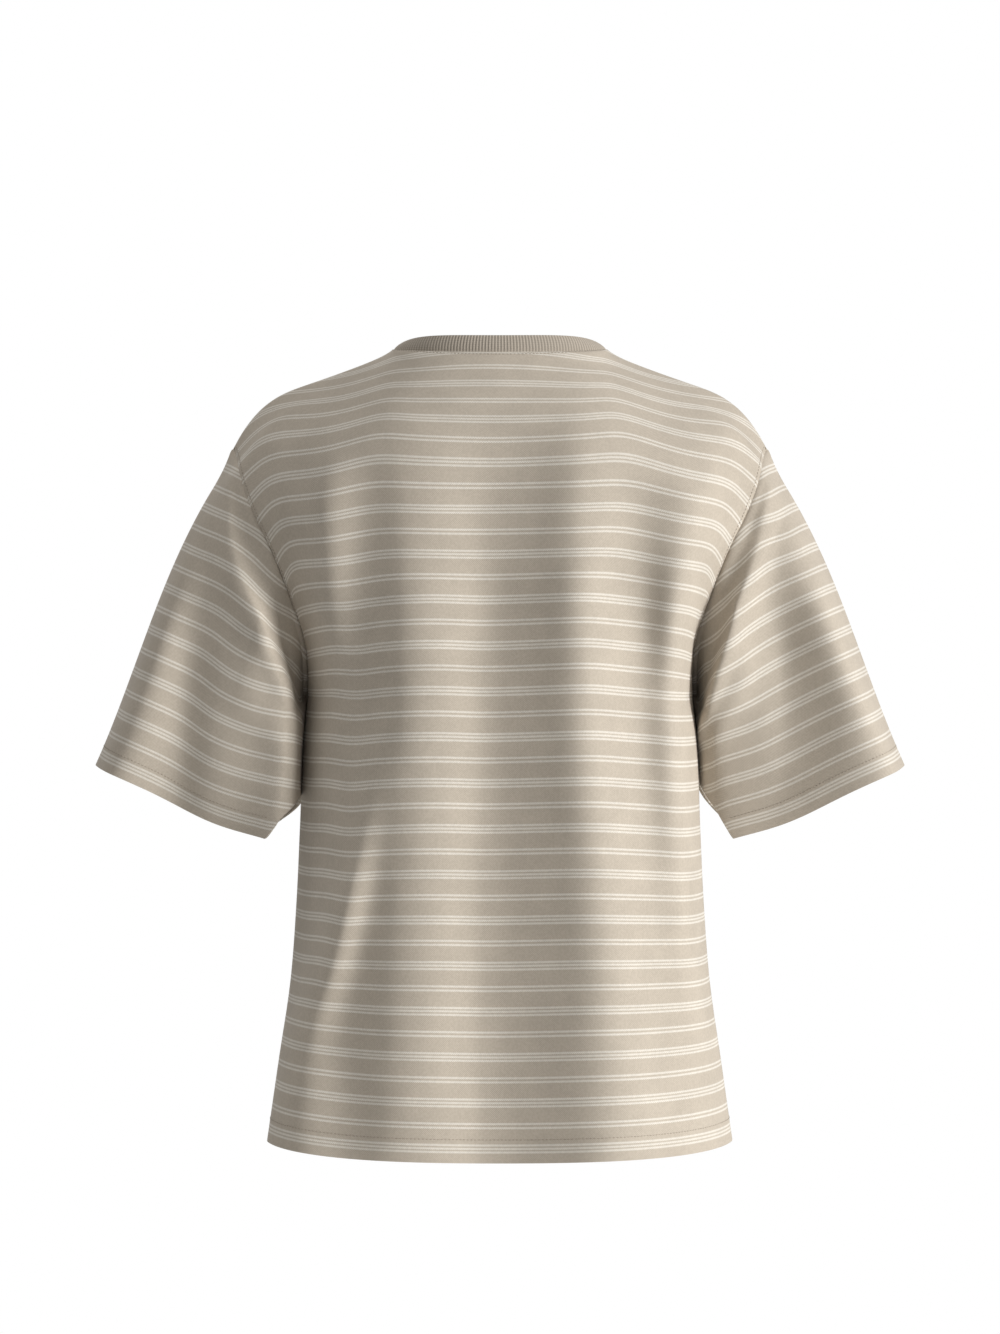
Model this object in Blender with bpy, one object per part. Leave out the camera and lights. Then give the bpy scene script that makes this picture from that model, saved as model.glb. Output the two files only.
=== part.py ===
"""Crew neck t-shirt, worn form with no wearer: front, back, two sleeves and a neck band.

Metres, +Z up. The front faces -Y and the wearer's left side is at +X. The origin lies midway
between the two high points of the shoulders, where the garment is held.

Every piece is a thin wall of cloth. Its outer skin is a grid of points worked out from the
sizes below, the inner skin is the same grid moved in by the cloth's thickness, and the pieces
meet edge to edge along their seams with a small gap.
"""

from collections import defaultdict, namedtuple
from math import cos, exp, pi, radians, sin, sqrt, tan

import bmesh
import bpy
import numpy as np

# ---- Cloth ---------------------------------------------------------------------------------
WALL = 0.0013          # single jersey
TURNED_WALL = 0.0024   # hem and cuffs, turned up inside
RIB_WALL = 0.0022      # neck band, folded double
SEAM_GAP = 0.0004      # between the edges of two sewn pieces
TURN_STEP = 0.0015     # height over which a turned edge thins to single cloth

# ---- Neck and shoulders --------------------------------------------------------------------
NECK_HALF = 0.083      # half of the neck's width, at the high shoulder points
NECK_BACK = 0.048      # the back neck seam lies this far behind them
NECK_BACK_DROP = 0.005
NECK_FRONT = 0.060     # the front neck seam lies this far before them
NECK_FRONT_DROP = 0.075
SHOULDER_HALF = 0.208  # half of the width across the shoulder points
SHOULDER_SLOPE = radians(20.5)
SHOULDER_DIP = 0.0032  # sag of the seam, greatest nearer the neck
SHOULDER_ROUND_FROM = 0.150
SHOULDER_ROUND_DROP = 0.030
SHOULDER_ROUND_POWER = 3.1
SHOULDER_TURN_RADIUS = 0.006   # of the cloth's turn over the shoulder seam
WIDEN_DEPTH = 0.160    # below the seam, the columns spread to their places on the body in this
EDGE_SETTLE = 0.020    # beside the armhole the cloth takes the armhole's own depth this far down

# Below its seam the cloth comes out to the body's full depth within a height: a slope that
# steepens, more at the middle (neck_power) than at the shoulder (power).
Yoke = namedtuple("Yoke", "depth power neck_power")
YOKES = {"back": Yoke(0.105, 2.0, 1.9), "front": Yoke(0.165, 1.7, 2.2)}

# ---- Neck band -----------------------------------------------------------------------------
RIB_HEIGHT = 0.0130
RIB_LEAN_SIDE = 0.0090   # how far its top leans in, at the shoulder
RIB_RISE_SIDE = 0.0073
RIB_LEAN_BACK = 0.0030
RIB_LEAN_FRONT = 0.0060

# ---- Body ----------------------------------------------------------------------------------
Section = namedtuple("Section", "z half_width back front side")
SECTIONS = (
    Section(-0.6214, 0.1815, 0.100, -0.128, -0.006),   # hem
    Section(-0.5550, 0.1725, 0.101, -0.126, -0.006),
    Section(-0.4900, 0.1635, 0.103, -0.125, -0.006),   # hip
    Section(-0.4300, 0.1590, 0.105, -0.124, -0.006),
    Section(-0.3700, 0.1562, 0.107, -0.124, -0.006),   # waist
    Section(-0.2950, 0.1530, 0.109, -0.122, -0.006),
    Section(-0.2700, 0.1500, 0.109, -0.121, -0.006),   # armpit
    Section(-0.2150, 0.1540, 0.109, -0.117, -0.006),
    Section(-0.1600, 0.1750, 0.108, -0.110, -0.006),   # blade
    Section(-0.1080, 0.1980, 0.105, -0.100, -0.006),
    Section(-0.0770, 0.2080, 0.104, -0.090, -0.006),   # shoulder point
)
HEM_SIDE_RISE = 0.004    # the hem lifts a little at the side seams
SIDE_POWER = 2.3         # roundness of the level sections
ARMPIT_Z = -0.270
ARMHOLE_OPENING = 0.120  # over this height the panel's edge turns from closed side to open armhole

# The armhole, from the shoulder point down to the armpit, seen from the back and the front.
Armhole = namedtuple("Armhole", "z back_x back_y front_x front_y")
ARMHOLE = (
    Armhole(-0.2700, 0.1500, -0.006, 0.1500, -0.006),
    Armhole(-0.2480, 0.1490, 0.014, 0.1480, -0.026),
    Armhole(-0.2250, 0.1510, 0.032, 0.1480, -0.041),
    Armhole(-0.2000, 0.1590, 0.044, 0.1530, -0.049),
    Armhole(-0.1780, 0.1670, 0.050, 0.1600, -0.050),
    Armhole(-0.1550, 0.1765, 0.050, 0.1690, -0.047),
    Armhole(-0.1300, 0.1890, 0.045, 0.1820, -0.041),
    Armhole(-0.1080, 0.1980, 0.038, 0.1935, -0.034),
    Armhole(-0.0900, 0.2030, 0.027, 0.2010, -0.024),
    Armhole(-0.0800, 0.2065, 0.014, 0.2060, -0.013),
    Armhole(-0.0770, 0.2080, 0.000, 0.2080, 0.000),
)

# The main hanging folds of both panels. A ridge stands out, a valley (negative height) sinks.
# Each runs from its top place to its foot place and is widest halfway.
Fold = namedtuple("Fold", "top_x top_z foot_x foot_z half_width height")
BACK_FOLDS = (
    Fold(0.070, -0.090, 0.076, -0.700, 0.048, 0.0070),
    Fold(-0.010, -0.060, -0.016, -0.700, 0.040, -0.0060),
    Fold(-0.065, -0.090, -0.068, -0.560, 0.036, 0.0060),
    Fold(-0.100, -0.080, -0.104, -0.330, 0.022, -0.0050),
    Fold(0.101, -0.070, 0.104, -0.400, 0.024, -0.0050),
    Fold(0.098, -0.320, 0.150, -0.620, 0.026, 0.0050),
)
FRONT_FOLDS = (
    Fold(0.060, -0.150, 0.068, -0.700, 0.046, 0.0060),
    Fold(0.006, -0.180, 0.012, -0.700, 0.042, -0.0050),
    Fold(-0.056, -0.140, -0.072, -0.700, 0.046, 0.0065),
    Fold(-0.118, -0.200, -0.132, -0.520, 0.028, -0.0040),
    Fold(0.112, -0.190, 0.124, -0.560, 0.026, -0.0045),
)

# ---- Sleeves -------------------------------------------------------------------------------
CUFF_CENTRE = (0.2370, -0.002, -0.3555)
CUFF_TILT = radians(22.4)      # the sleeve hangs this far out from straight down
CUFF_HALF_WIDTH = 0.0855
CUFF_HALF_DEPTH = 0.0430
CUFF_TUCK_FROM = radians(132)  # past this angle the cuff is pushed up against the body
CUFF_TUCK = 0.036
CUFF_DIP = 0.0050              # the cuff hangs lower at the back and front of the arm
CUFF_DIP_AT = radians(100)
CUFF_DIP_SPREAD = radians(28)
SLEEVE_CROWN = 0.0090          # fullness over the top of the arm, greatest a third of the way down
SLEEVE_SWELL = 0.0140          # fullness at the front and back of the arm
UNDERARM_LIP = 0.0048          # step out from the seam under the arm, before the cloth hangs
UNDERARM_TURN = radians(24)    # within this the sleeve turns from hanging free to lying on the body
UNDERARM_POCKET = 0.20         # behind, the cloth stands off the body over this share of the seam
BODY_CLEARANCE = 0.0017        # between the sleeve and the body it touches
SLEEVE_LENGTH = 0.270          # over the top of the arm
CUFF_TURN = 0.017
HEM_TURN = 0.018

# ---- Grids ---------------------------------------------------------------------------------
COLUMNS = 28           # across a panel
NECK_COLUMNS = 12      # of those, along the neck
LOW_ROWS = 14          # hem to armpit
HIGH_ROWS = 11         # armpit to shoulder
SLEEVE_SHARES = (0.0, 0.020, 0.09, 0.22, 0.37, 0.52, 0.67, 0.81)   # rows above the cuff
RIB_ROWS = 2
PATH_STEPS = 80

# ---- Finish --------------------------------------------------------------------------------
JERSEY_COLOUR = (0.445, 0.388, 0.318, 1.0)
RIB_COLOUR = (0.385, 0.335, 0.272, 1.0)
JERSEY_ROUGHNESS = 0.92
RIB_ROUGHNESS = 0.95


def clear_scene():
    for item in list(bpy.data.objects):
        bpy.data.objects.remove(item, do_unlink=True)


def ease(value):
    """Smooth step from 0 to 1."""
    value = np.clip(value, 0.0, 1.0)
    return value * value * (3.0 - 2.0 * value)


def along(table, column, z):
    """One column of a table at height z, on a smooth curve through the table's rows."""
    heights = np.array([row.z for row in table])
    values = np.array([getattr(row, column) for row in table])
    slopes = np.gradient(values, heights)
    z = min(max(z, heights[0]), heights[-1])
    low = min(int(np.searchsorted(heights, z, side="right")) - 1, len(heights) - 2)
    span = heights[low + 1] - heights[low]
    t = (z - heights[low]) / span
    rise = t * t * (3.0 - 2.0 * t)
    start = values[low] * (1.0 - rise) + values[low + 1] * rise
    bend = span * (slopes[low] * t * (1.0 - t) ** 2 - slopes[low + 1] * t * t * (1.0 - t))
    return start + bend


def shoulder_height(x):
    """Height of the shoulder seam at a distance from the middle."""
    run = abs(x) - NECK_HALF
    share = max(run / (SHOULDER_HALF - NECK_HALF), 0.0)
    past = max(0.0, abs(x) - SHOULDER_ROUND_FROM) / (SHOULDER_HALF - SHOULDER_ROUND_FROM)
    dip = SHOULDER_DIP * sin(pi * sqrt(share))
    return -tan(SHOULDER_SLOPE) * run - dip - SHOULDER_ROUND_DROP * past ** SHOULDER_ROUND_POWER


def top_edge(panel, s):
    """Where a column of a panel ends: on the neck seam, or past it on the shoulder seam."""
    neck_share = NECK_COLUMNS / COLUMNS
    side = 1.0 if s >= 0.0 else -1.0
    if abs(s) >= neck_share:
        share = (abs(s) - neck_share) / (1.0 - neck_share)
        x = NECK_HALF + (SHOULDER_HALF - NECK_HALF) * share
        return np.array((side * x, 0.0, shoulder_height(x)))
    angle = 0.5 * pi * abs(s) / neck_share
    depth = NECK_BACK if panel == "back" else -NECK_FRONT
    drop = NECK_BACK_DROP if panel == "back" else NECK_FRONT_DROP
    return np.array((side * NECK_HALF * sin(angle), depth * cos(angle), -drop * cos(angle)))


def edge_point(panel, z, raised):
    """Outer edge of a panel: the side seam below the armpit, the armhole above it.

    A column whose top is raised above the shoulder point takes the armhole's depth from
    that much lower down, so that the cloth rounds over the arm as one form.
    """
    if z <= ARMPIT_Z:
        return along(SECTIONS, "half_width", z), along(SECTIONS, "side", z)
    return along(ARMHOLE, panel + "_x", z), along(ARMHOLE, panel + "_y", z - raised)


def fold_height(panel, x, z):
    """How far the hanging folds move the cloth out at one place."""
    total = 0.0
    for fold in BACK_FOLDS if panel == "back" else FRONT_FOLDS:
        share = (fold.top_z - z) / (fold.top_z - fold.foot_z)
        centre = fold.top_x + (fold.foot_x - fold.top_x) * share
        across = (x - centre) / fold.half_width
        fade = ease(share / 0.25) * ease((1.0 - share) / 0.25)
        total += fold.height * fade * np.exp(-across * across)
    return total


def share_out(panel, drop, top):
    """How far out to the body's full depth the cloth has come, at a drop below its seam."""
    yoke = YOKES[panel]
    neckness = abs(top[1]) / (NECK_BACK if panel == "back" else NECK_FRONT)
    radius = SHOULDER_TURN_RADIUS * (1.0 - neckness)
    power = yoke.power + (yoke.neck_power - yoke.power) * neckness
    whole = sqrt(yoke.depth * (yoke.depth + 2.0 * radius))
    reach = min(sqrt(drop * (drop + 2.0 * radius)) / whole, 1.0)
    return 1.0 - (1.0 - reach) ** power


def body_point(panel, s, z, top):
    """Point of a panel's outer skin on column s at height z."""
    drop = max(top[2] - z, 0.0)
    raised = (top[2] - ARMHOLE[-1].z) * (1.0 - ease(drop / WIDEN_DEPTH))
    edge_x, edge_y = edge_point(panel, z, raised)
    top_ratio = top[0] / SHOULDER_HALF
    low_ratio = s * (1.24 - 0.24 * s * s)
    ratio = top_ratio + (low_ratio - top_ratio) * ease(drop / WIDEN_DEPTH)
    x = edge_x * ratio
    openness = ease((z - ARMPIT_Z) / ARMHOLE_OPENING)
    crown = max(1.0 - abs(ratio) ** SIDE_POWER, 0.0) ** (0.5 + 0.35 * openness)
    y = edge_y + (along(SECTIONS, panel, z) - edge_y) * crown
    lift = fold_height(panel, x, z) * min(1.0, 6.0 * crown)
    y += lift if panel == "back" else -lift
    out = share_out(panel, drop, top)
    out += (1.0 - out) * abs(s) ** 8 * ease(drop / EDGE_SETTLE)
    if drop == 0.0:
        return np.array(top)
    return np.array((x, top[1] + (y - top[1]) * out, z))


def evenly(path, count):
    """Points at even distances along a path, count of them."""
    path = np.array(path)
    steps = np.linalg.norm(np.diff(path, axis=0), axis=1)
    travelled = np.concatenate(((0.0,), np.cumsum(steps)))
    wanted = np.linspace(0.0, travelled[-1], count)
    return np.stack([np.interp(wanted, travelled, path[:, axis]) for axis in range(3)], axis=1)


def turned_levels(length, turn, count):
    """Distances from a turned edge: the turn-up, the step above it, then even rows."""
    start = turn + TURN_STEP
    return [0.0, turn] + list(np.linspace(start, length, count - 1))


def panel_column(panel, s):
    """One column of a panel, from the hem up to the shoulder or neck seam."""
    top = top_edge(panel, s)
    hem_z = SECTIONS[0].z
    points = []
    for level in turned_levels(ARMPIT_Z - hem_z, HEM_TURN, LOW_ROWS):
        z = hem_z + level
        point = body_point(panel, s, z, top)
        lift = HEM_SIDE_RISE * abs(s) ** 6 * (1.0 - level / (ARMPIT_Z - hem_z)) ** 4
        points.append(point + np.array((0.0, 0.0, lift)))
    high = []
    for step in range(PATH_STEPS + 1):
        share = sin(0.5 * pi * step / PATH_STEPS)
        high.append(body_point(panel, s, ARMPIT_Z + (top[2] - ARMPIT_Z) * share, top))
    return points[:-1] + list(evenly(high, HIGH_ROWS + 1))


def panel_grid(panel):
    """Outer skin of a panel as rows from hem to top, each from the right side to the left."""
    columns = [panel_column(panel, -1.0 + 2.0 * c / COLUMNS) for c in range(COLUMNS + 1)]
    return np.array(columns).transpose(1, 0, 2)


def cuff_point(angle, side):
    """Point of the cuff's edge; angle 0 is over the arm, half a turn is the underarm seam."""
    across = np.array((cos(CUFF_TILT), 0.0, sin(CUFF_TILT)))
    centre = np.array(CUFF_CENTRE)
    point = centre + across * (CUFF_HALF_WIDTH * cos(angle))
    point[1] += CUFF_HALF_DEPTH * sin(angle)
    tuck = min(max((abs(angle) - CUFF_TUCK_FROM) / UNDERARM_TURN, 0.0), 1.0)
    dip = exp(-(((abs(angle) - CUFF_DIP_AT) / CUFF_DIP_SPREAD) ** 2))
    point[2] += CUFF_TUCK * tuck - CUFF_DIP * dip
    return point * np.array((side, 1.0, 1.0))


def body_half_width(y, z):
    """Half of the body's width at one depth and height, below the armpit."""
    middle = along(SECTIONS, "side", z)
    reach = along(SECTIONS, "back" if y > middle else "front", z) - middle
    share = min(abs((y - middle) / reach), 1.0)
    return along(SECTIONS, "half_width", z) * (1.0 - share * share) ** (1.0 / SIDE_POWER)


def sleeve_point(start, angle, share, side):
    """Point of a sleeve's outer skin, a share of the way from the armhole to the cuff."""
    point = start + (cuff_point(angle, side) - start) * share
    arch = 4.0 * share * (1.0 - share)
    under = max(0.0, -cos(angle))
    crown = SLEEVE_CROWN * max(0.0, cos(angle)) * 6.75 * share * (1.0 - share) ** 2
    point[0] += side * crown * cos(CUFF_TILT)
    point[2] += crown * sin(CUFF_TILT)
    point[1] += SLEEVE_SWELL * sin(angle) * abs(sin(angle)) * arch
    point[0] += side * UNDERARM_LIP * under * ease(share / SLEEVE_SHARES[1]) * (1.0 - share)
    if point[2] < ARMPIT_Z and share > 0.0:
        beside = body_half_width(point[1], point[2]) + BODY_CLEARANCE
        settled = ease(share / (UNDERARM_POCKET if angle > 0.0 else SLEEVE_SHARES[2]))
        lying = ease((abs(angle) - CUFF_TUCK_FROM) / UNDERARM_TURN) * settled
        away = side * point[0] + (beside - side * point[0]) * lying
        point[0] = side * max(away, beside)
    return point


def sleeve_grid(armhole, side):
    """Outer skin of a sleeve: rows from the armhole to the cuff, each a closed ring."""
    turn = CUFF_TURN / SLEEVE_LENGTH
    step_up = (CUFF_TURN + TURN_STEP) / SLEEVE_LENGTH
    rows = []
    for share in SLEEVE_SHARES + (1.0 - step_up, 1.0 - turn, 1.0):
        ring = []
        for step, start in enumerate(armhole):
            angle = 2.0 * pi * step / len(armhole)
            angle = angle if angle <= pi else angle - 2.0 * pi
            ring.append(sleeve_point(start, angle, share, side))
        rows.append(ring)
    return np.array(rows)


def rib_grid(neck):
    """Outer skin of the neck band: rows from the neck seam to the band's top, closed rings."""
    rows = []
    for level in range(RIB_ROWS + 1):
        share = level / RIB_ROWS
        ring = []
        for point in neck:
            sideness = (abs(point[0]) / NECK_HALF) ** 5
            front = point[1] < 0.0
            lean = (RIB_LEAN_FRONT if front else RIB_LEAN_BACK) * (1.0 - sideness) + RIB_LEAN_SIDE * sideness
            rise = RIB_HEIGHT * (1.0 - sideness) + RIB_RISE_SIDE * sideness
            flat = np.array((point[0], point[1], 0.0))
            inward = -flat / np.linalg.norm(flat)
            curl = share * share * 0.4 + share * 0.6
            ring.append(point + inward * lean * curl + np.array((0.0, 0.0, rise * share)))
        rows.append(ring)
    return np.array(rows)


def face_list(rows, columns, closed):
    """Index quads of a grid; a closed grid's last column joins its first."""
    faces = []
    for row in range(rows - 1):
        for column in range(columns if closed else columns - 1):
            following = (column + 1) % columns
            faces.append((row * columns + column, row * columns + following,
                          (row + 1) * columns + following, (row + 1) * columns + column))
    return faces


def grid_normals(grid, closed, flip):
    """Unit normals of a grid of points, pointing out of the garment."""
    rows, columns = grid.shape[:2]
    flat = grid.reshape(-1, 3)
    normals = np.zeros_like(flat)
    for a, b, c, d in face_list(rows, columns, closed):
        normal = np.cross(flat[c] - flat[a], flat[d] - flat[b])
        for corner in (a, b, c, d):
            normals[corner] += normal
    normals /= np.linalg.norm(normals, axis=1, keepdims=True)
    return (-normals if flip else normals).reshape(grid.shape)


def key(point):
    return tuple(np.round(point, 6))


def unit(vector):
    """The vector at length one; a vector of no length stays as it is."""
    length = np.linalg.norm(vector)
    return vector / length if length > 0.0 else vector


def share_normals(skins):
    """Where sewn pieces meet, all take the same normal, so that their walls meet too.

    The panels count as one side of a seam and the sleeve or neck band as the other.
    """
    sides = defaultdict(lambda: [np.zeros(3), np.zeros(3)])
    for skin in skins:
        for point, normal in zip(skin.grid.reshape(-1, 3), skin.normals.reshape(-1, 3)):
            sides[key(point)][int(skin.closed)] += normal
    for skin in skins:
        flat = skin.normals.reshape(-1, 3)
        for index, point in enumerate(skin.grid.reshape(-1, 3)):
            flat[index] = unit(sum(unit(side) for side in sides[key(point)]))


class Skin:
    """A piece's outer grid, its normals, and whether it is a closed ring."""

    def __init__(self, name, grid, closed, flip):
        self.name = name
        self.grid = grid
        self.closed = closed
        self.normals = grid_normals(grid, closed, flip)


def inset(edge, inner, normals, ring):
    """Steps that draw a sewn edge back, square to the edge and along the cloth."""
    if ring:
        run = np.roll(edge, -1, axis=0) - np.roll(edge, 1, axis=0)
    else:
        run = np.gradient(edge, axis=0)
    step = np.cross(normals, run)
    step *= np.sign(np.sum(step * (inner - edge), axis=1, keepdims=True))
    return 0.5 * SEAM_GAP * step / np.linalg.norm(step, axis=1, keepdims=True)


def pulled_back(skin):
    """The grid with the edges that are sewn to a neighbour drawn back by half the seam gap."""
    grid = skin.grid.copy()
    whole, normals = skin.grid, skin.normals
    if skin.closed:
        grid[0] += inset(whole[0], whole[1], normals[0], True)
        return grid
    grid[-1] += inset(whole[-1], whole[-2], normals[-1], False)
    grid[:, 0] += inset(whole[:, 0], whole[:, 1], normals[:, 0], False)
    grid[:, -1] += inset(whole[:, -1], whole[:, -2], normals[:, -1], False)
    return grid


def wall_thickness(skin):
    """Thickness of the cloth, row by row: thicker where a hem or cuff is turned up."""
    rows = skin.grid.shape[0]
    if skin.name == "neck_rib":
        return np.full(rows, RIB_WALL)
    thickness = np.full(rows, WALL)
    turned = slice(0, 2) if not skin.closed else slice(rows - 2, rows)
    thickness[turned] = TURNED_WALL
    return thickness


def rim_faces(edges, grid):
    """Two triangles on each edge of a rim, cut so that a sewn neighbour's rim is cut the same way."""
    count = grid.shape[0] * grid.shape[1]
    flat = grid.reshape(-1, 3)
    faces = []
    for a, b in edges:
        if key(flat[a]) < key(flat[b]):
            faces += [(a, b, count + b), (a, count + b, count + a)]
        else:
            faces += [(a, b, count + a), (b, count + b, count + a)]
    return faces


def wall_faces(whole, closed):
    """Faces of both skins and of the rims that close them."""
    rows, columns = whole.shape[:2]
    count = rows * columns
    outer = face_list(rows, columns, closed)
    faces = list(outer)
    faces += [tuple(count + corner for corner in reversed(face)) for face in outer]
    rim = [(row * columns, (row + 1) * columns) for row in range(rows - 1)]
    rim += [((row + 1) * columns + columns - 1, row * columns + columns - 1) for row in range(rows - 1)]
    if closed:
        rim = []
    steps = columns if closed else columns - 1
    for column in range(steps):
        following = (column + 1) % columns
        last = (rows - 1) * columns
        rim.append((following, column))
        rim.append((last + column, last + following))
    return faces + rim_faces(rim, whole)


def face_outwards(mesh):
    shape = bmesh.new()
    shape.from_mesh(mesh)
    bmesh.ops.recalc_face_normals(shape, faces=shape.faces)
    shape.to_mesh(mesh)
    shape.free()


def make_wall(skin, material):
    """Object of one piece of cloth, closed all round."""
    grid = pulled_back(skin)
    rows, columns = grid.shape[:2]
    thickness = wall_thickness(skin).reshape(rows, 1, 1)
    inner = grid - skin.normals * thickness
    points = np.concatenate((grid.reshape(-1, 3), inner.reshape(-1, 3)))
    mesh = bpy.data.meshes.new(skin.name)
    mesh.from_pydata([tuple(point) for point in points], [], wall_faces(skin.grid, skin.closed))
    face_outwards(mesh)
    mesh.materials.append(material)
    mesh.shade_smooth()
    mesh.set_sharp_from_angle(angle=radians(50))
    item = bpy.data.objects.new(skin.name, mesh)
    bpy.context.scene.collection.objects.link(item)
    return item


def make_material(name, colour, roughness):
    material = bpy.data.materials.new(name)
    material.use_nodes = True
    shader = material.node_tree.nodes["Principled BSDF"]
    shader.inputs["Base Color"].default_value = colour
    shader.inputs["Roughness"].default_value = roughness
    shader.inputs["Metallic"].default_value = 0.0
    return material


def armhole_ring(back, front, column):
    """The armhole's points from the shoulder down the back edge and up the front edge."""
    armpit = back.shape[0] - 1 - HIGH_ROWS
    down = back[armpit:, column][::-1]
    up = front[armpit + 1:-1, column]
    return np.concatenate((down, up))


def neck_ring(back, front):
    """The neck seam's points, once round."""
    first = (COLUMNS - NECK_COLUMNS) // 2
    across = back[-1, first:first + NECK_COLUMNS + 1]
    return np.concatenate((across, front[-1, first + 1:first + NECK_COLUMNS][::-1]))


def build():
    clear_scene()
    back = panel_grid("back")
    front = panel_grid("front")
    skins = [
        Skin("back", back, False, True),
        Skin("front", front, False, False),
        Skin("sleeve_left", sleeve_grid(armhole_ring(back, front, -1), 1.0), True, True),
        Skin("sleeve_right", sleeve_grid(armhole_ring(back, front, 0), -1.0), True, False),
        Skin("neck_rib", rib_grid(neck_ring(back, front)), True, True),
    ]
    share_normals(skins)
    for skin in skins:
        ribbed = skin.name == "neck_rib"
        colour = RIB_COLOUR if ribbed else JERSEY_COLOUR
        roughness = RIB_ROUGHNESS if ribbed else JERSEY_ROUGHNESS
        make_wall(skin, make_material(skin.name + "_cloth", colour, roughness))


build()
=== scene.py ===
from collections import namedtuple
from math import cos, pi, radians, sin, tan

import bmesh
import bpy
import numpy as np
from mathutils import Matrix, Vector


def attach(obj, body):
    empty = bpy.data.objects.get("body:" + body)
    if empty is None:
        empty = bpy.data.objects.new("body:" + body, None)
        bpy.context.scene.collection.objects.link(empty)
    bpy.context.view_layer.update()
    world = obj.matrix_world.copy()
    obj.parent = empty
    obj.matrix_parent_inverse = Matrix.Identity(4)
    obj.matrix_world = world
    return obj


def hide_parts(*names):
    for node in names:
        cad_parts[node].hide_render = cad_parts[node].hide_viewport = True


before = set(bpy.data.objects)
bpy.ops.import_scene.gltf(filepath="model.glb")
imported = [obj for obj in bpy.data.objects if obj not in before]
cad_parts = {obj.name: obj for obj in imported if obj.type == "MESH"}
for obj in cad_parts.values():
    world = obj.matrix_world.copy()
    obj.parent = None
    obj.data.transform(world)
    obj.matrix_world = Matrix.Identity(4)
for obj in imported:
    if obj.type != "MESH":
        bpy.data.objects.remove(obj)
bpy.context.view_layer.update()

# Crew neck t-shirt, worn form with no wearer. Metres, +Z up, the front faces -Y and the
# wearer's left side is at +X. The cloth follows the same form as the CAD pieces, on a finer
# grid, with its folds, turned edges, seams and stitches. Every point also carries its place
# in the flat cloth, (u, v) in metres, which the knit and the pinstripes are drawn by. On the
# neck band u counts the knitted ribs instead.

# ---- Cloth ----
WALL = 0.0013
TURNED_WALL = 0.0024  # hem and cuffs, turned up inside
RIB_WALL = 0.0022  # neck band, folded double
TINY = 1e-12
SHARP_ANGLE = radians(60)  # steeper edges than this are shaded sharp

# ---- Neck and shoulders ----
NECK_HALF = 0.083  # half of the neck's width, at the high shoulder points
NECK_BACK = 0.048  # the back neck seam lies this far behind them
NECK_BACK_DROP = 0.005
NECK_FRONT = 0.060  # the front neck seam lies this far before them
NECK_FRONT_DROP = 0.075
SHOULDER_HALF = 0.208  # half of the width across the shoulder points
SHOULDER_SLOPE = radians(20.5)
SHOULDER_DIP = 0.0032  # sag of the seam, greatest nearer the neck
SHOULDER_ROUND_FROM = 0.150
SHOULDER_ROUND_DROP = 0.030
SHOULDER_ROUND_POWER = 3.1
SHOULDER_TURN_RADIUS = 0.006  # of the cloth's turn over the shoulder seam
WIDEN_DEPTH = 0.160  # below the seam, the columns spread to their places in this
EDGE_SETTLE = 0.020  # beside the armhole the cloth takes the armhole's own depth in this
EDGE_POWER = 8  # the higher, the closer that keeps to the armhole

# Below its seam the cloth comes out to the body's full depth within a height: a slope that
# steepens, by one power at the shoulder and by another at the neck.
Yoke = namedtuple("Yoke", "depth power neck_power")
YOKES = {"back": Yoke(0.105, 2.0, 1.9), "front": Yoke(0.165, 1.7, 2.2)}

# ---- Neck band ----
RIB_HEIGHT = 0.0130
RIB_LEAN_SIDE = 0.0090  # how far its top leans in, at the shoulder
RIB_RISE_SIDE = 0.0073
RIB_SIDE_POWER = 5  # how suddenly the shoulder's lean and rise take over
RIB_LEAN_BACK = 0.0030
RIB_LEAN_FRONT = 0.0060
RIB_CURL = 0.4  # of the lean, the share that comes only towards the top
RIB_COUNT = 200  # knitted ribs round the band
RIB_DEPTH = 0.00042
RIB_DEPTH_SHARE = 0.12  # above the seam the ribs reach their depth in this
RIB_BULGE = 0.0006  # the folded band is fullest halfway up

# ---- Body ----
Section = namedtuple("Section", "z half_width back front side")
SECTIONS = (
    Section(-0.6214, 0.1815, 0.100, -0.128, -0.006),
    Section(-0.555, 0.1725, 0.101, -0.126, -0.006),
    Section(-0.49, 0.1635, 0.103, -0.125, -0.006),
    Section(-0.43, 0.1590, 0.105, -0.124, -0.006),
    Section(-0.37, 0.1562, 0.107, -0.124, -0.006),
    Section(-0.295, 0.1530, 0.109, -0.122, -0.006),
    Section(-0.27, 0.1500, 0.109, -0.121, -0.006),
    Section(-0.215, 0.1540, 0.109, -0.117, -0.006),
    Section(-0.16, 0.1750, 0.108, -0.110, -0.006),
    Section(-0.108, 0.1980, 0.105, -0.100, -0.006),
    Section(-0.077, 0.2080, 0.104, -0.090, -0.006),
)
HEM_SIDE_RISE = 0.006  # the hem lifts a little at the side seams
HEM_RISE_POWER = 3
HEM_RISE_FADE_POWER = 4
SIDE_POWER = 2.3  # roundness of the level sections
SIDE_ROOT = 0.5  # the lower, the fuller they are towards the sides
ARMHOLE_ROOT = 0.35  # added to it beside the armholes
COLUMN_CROWDING = 0.24  # in the middle the columns lie wider apart by this share
FOLD_GIVE = 6.0  # how soon, from the sides in, the cloth is free to fold
ARMPIT_Z = -0.270
ARMHOLE_OPENING = 0.120  # in this height the panel's edge turns from closed side to armhole

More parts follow.
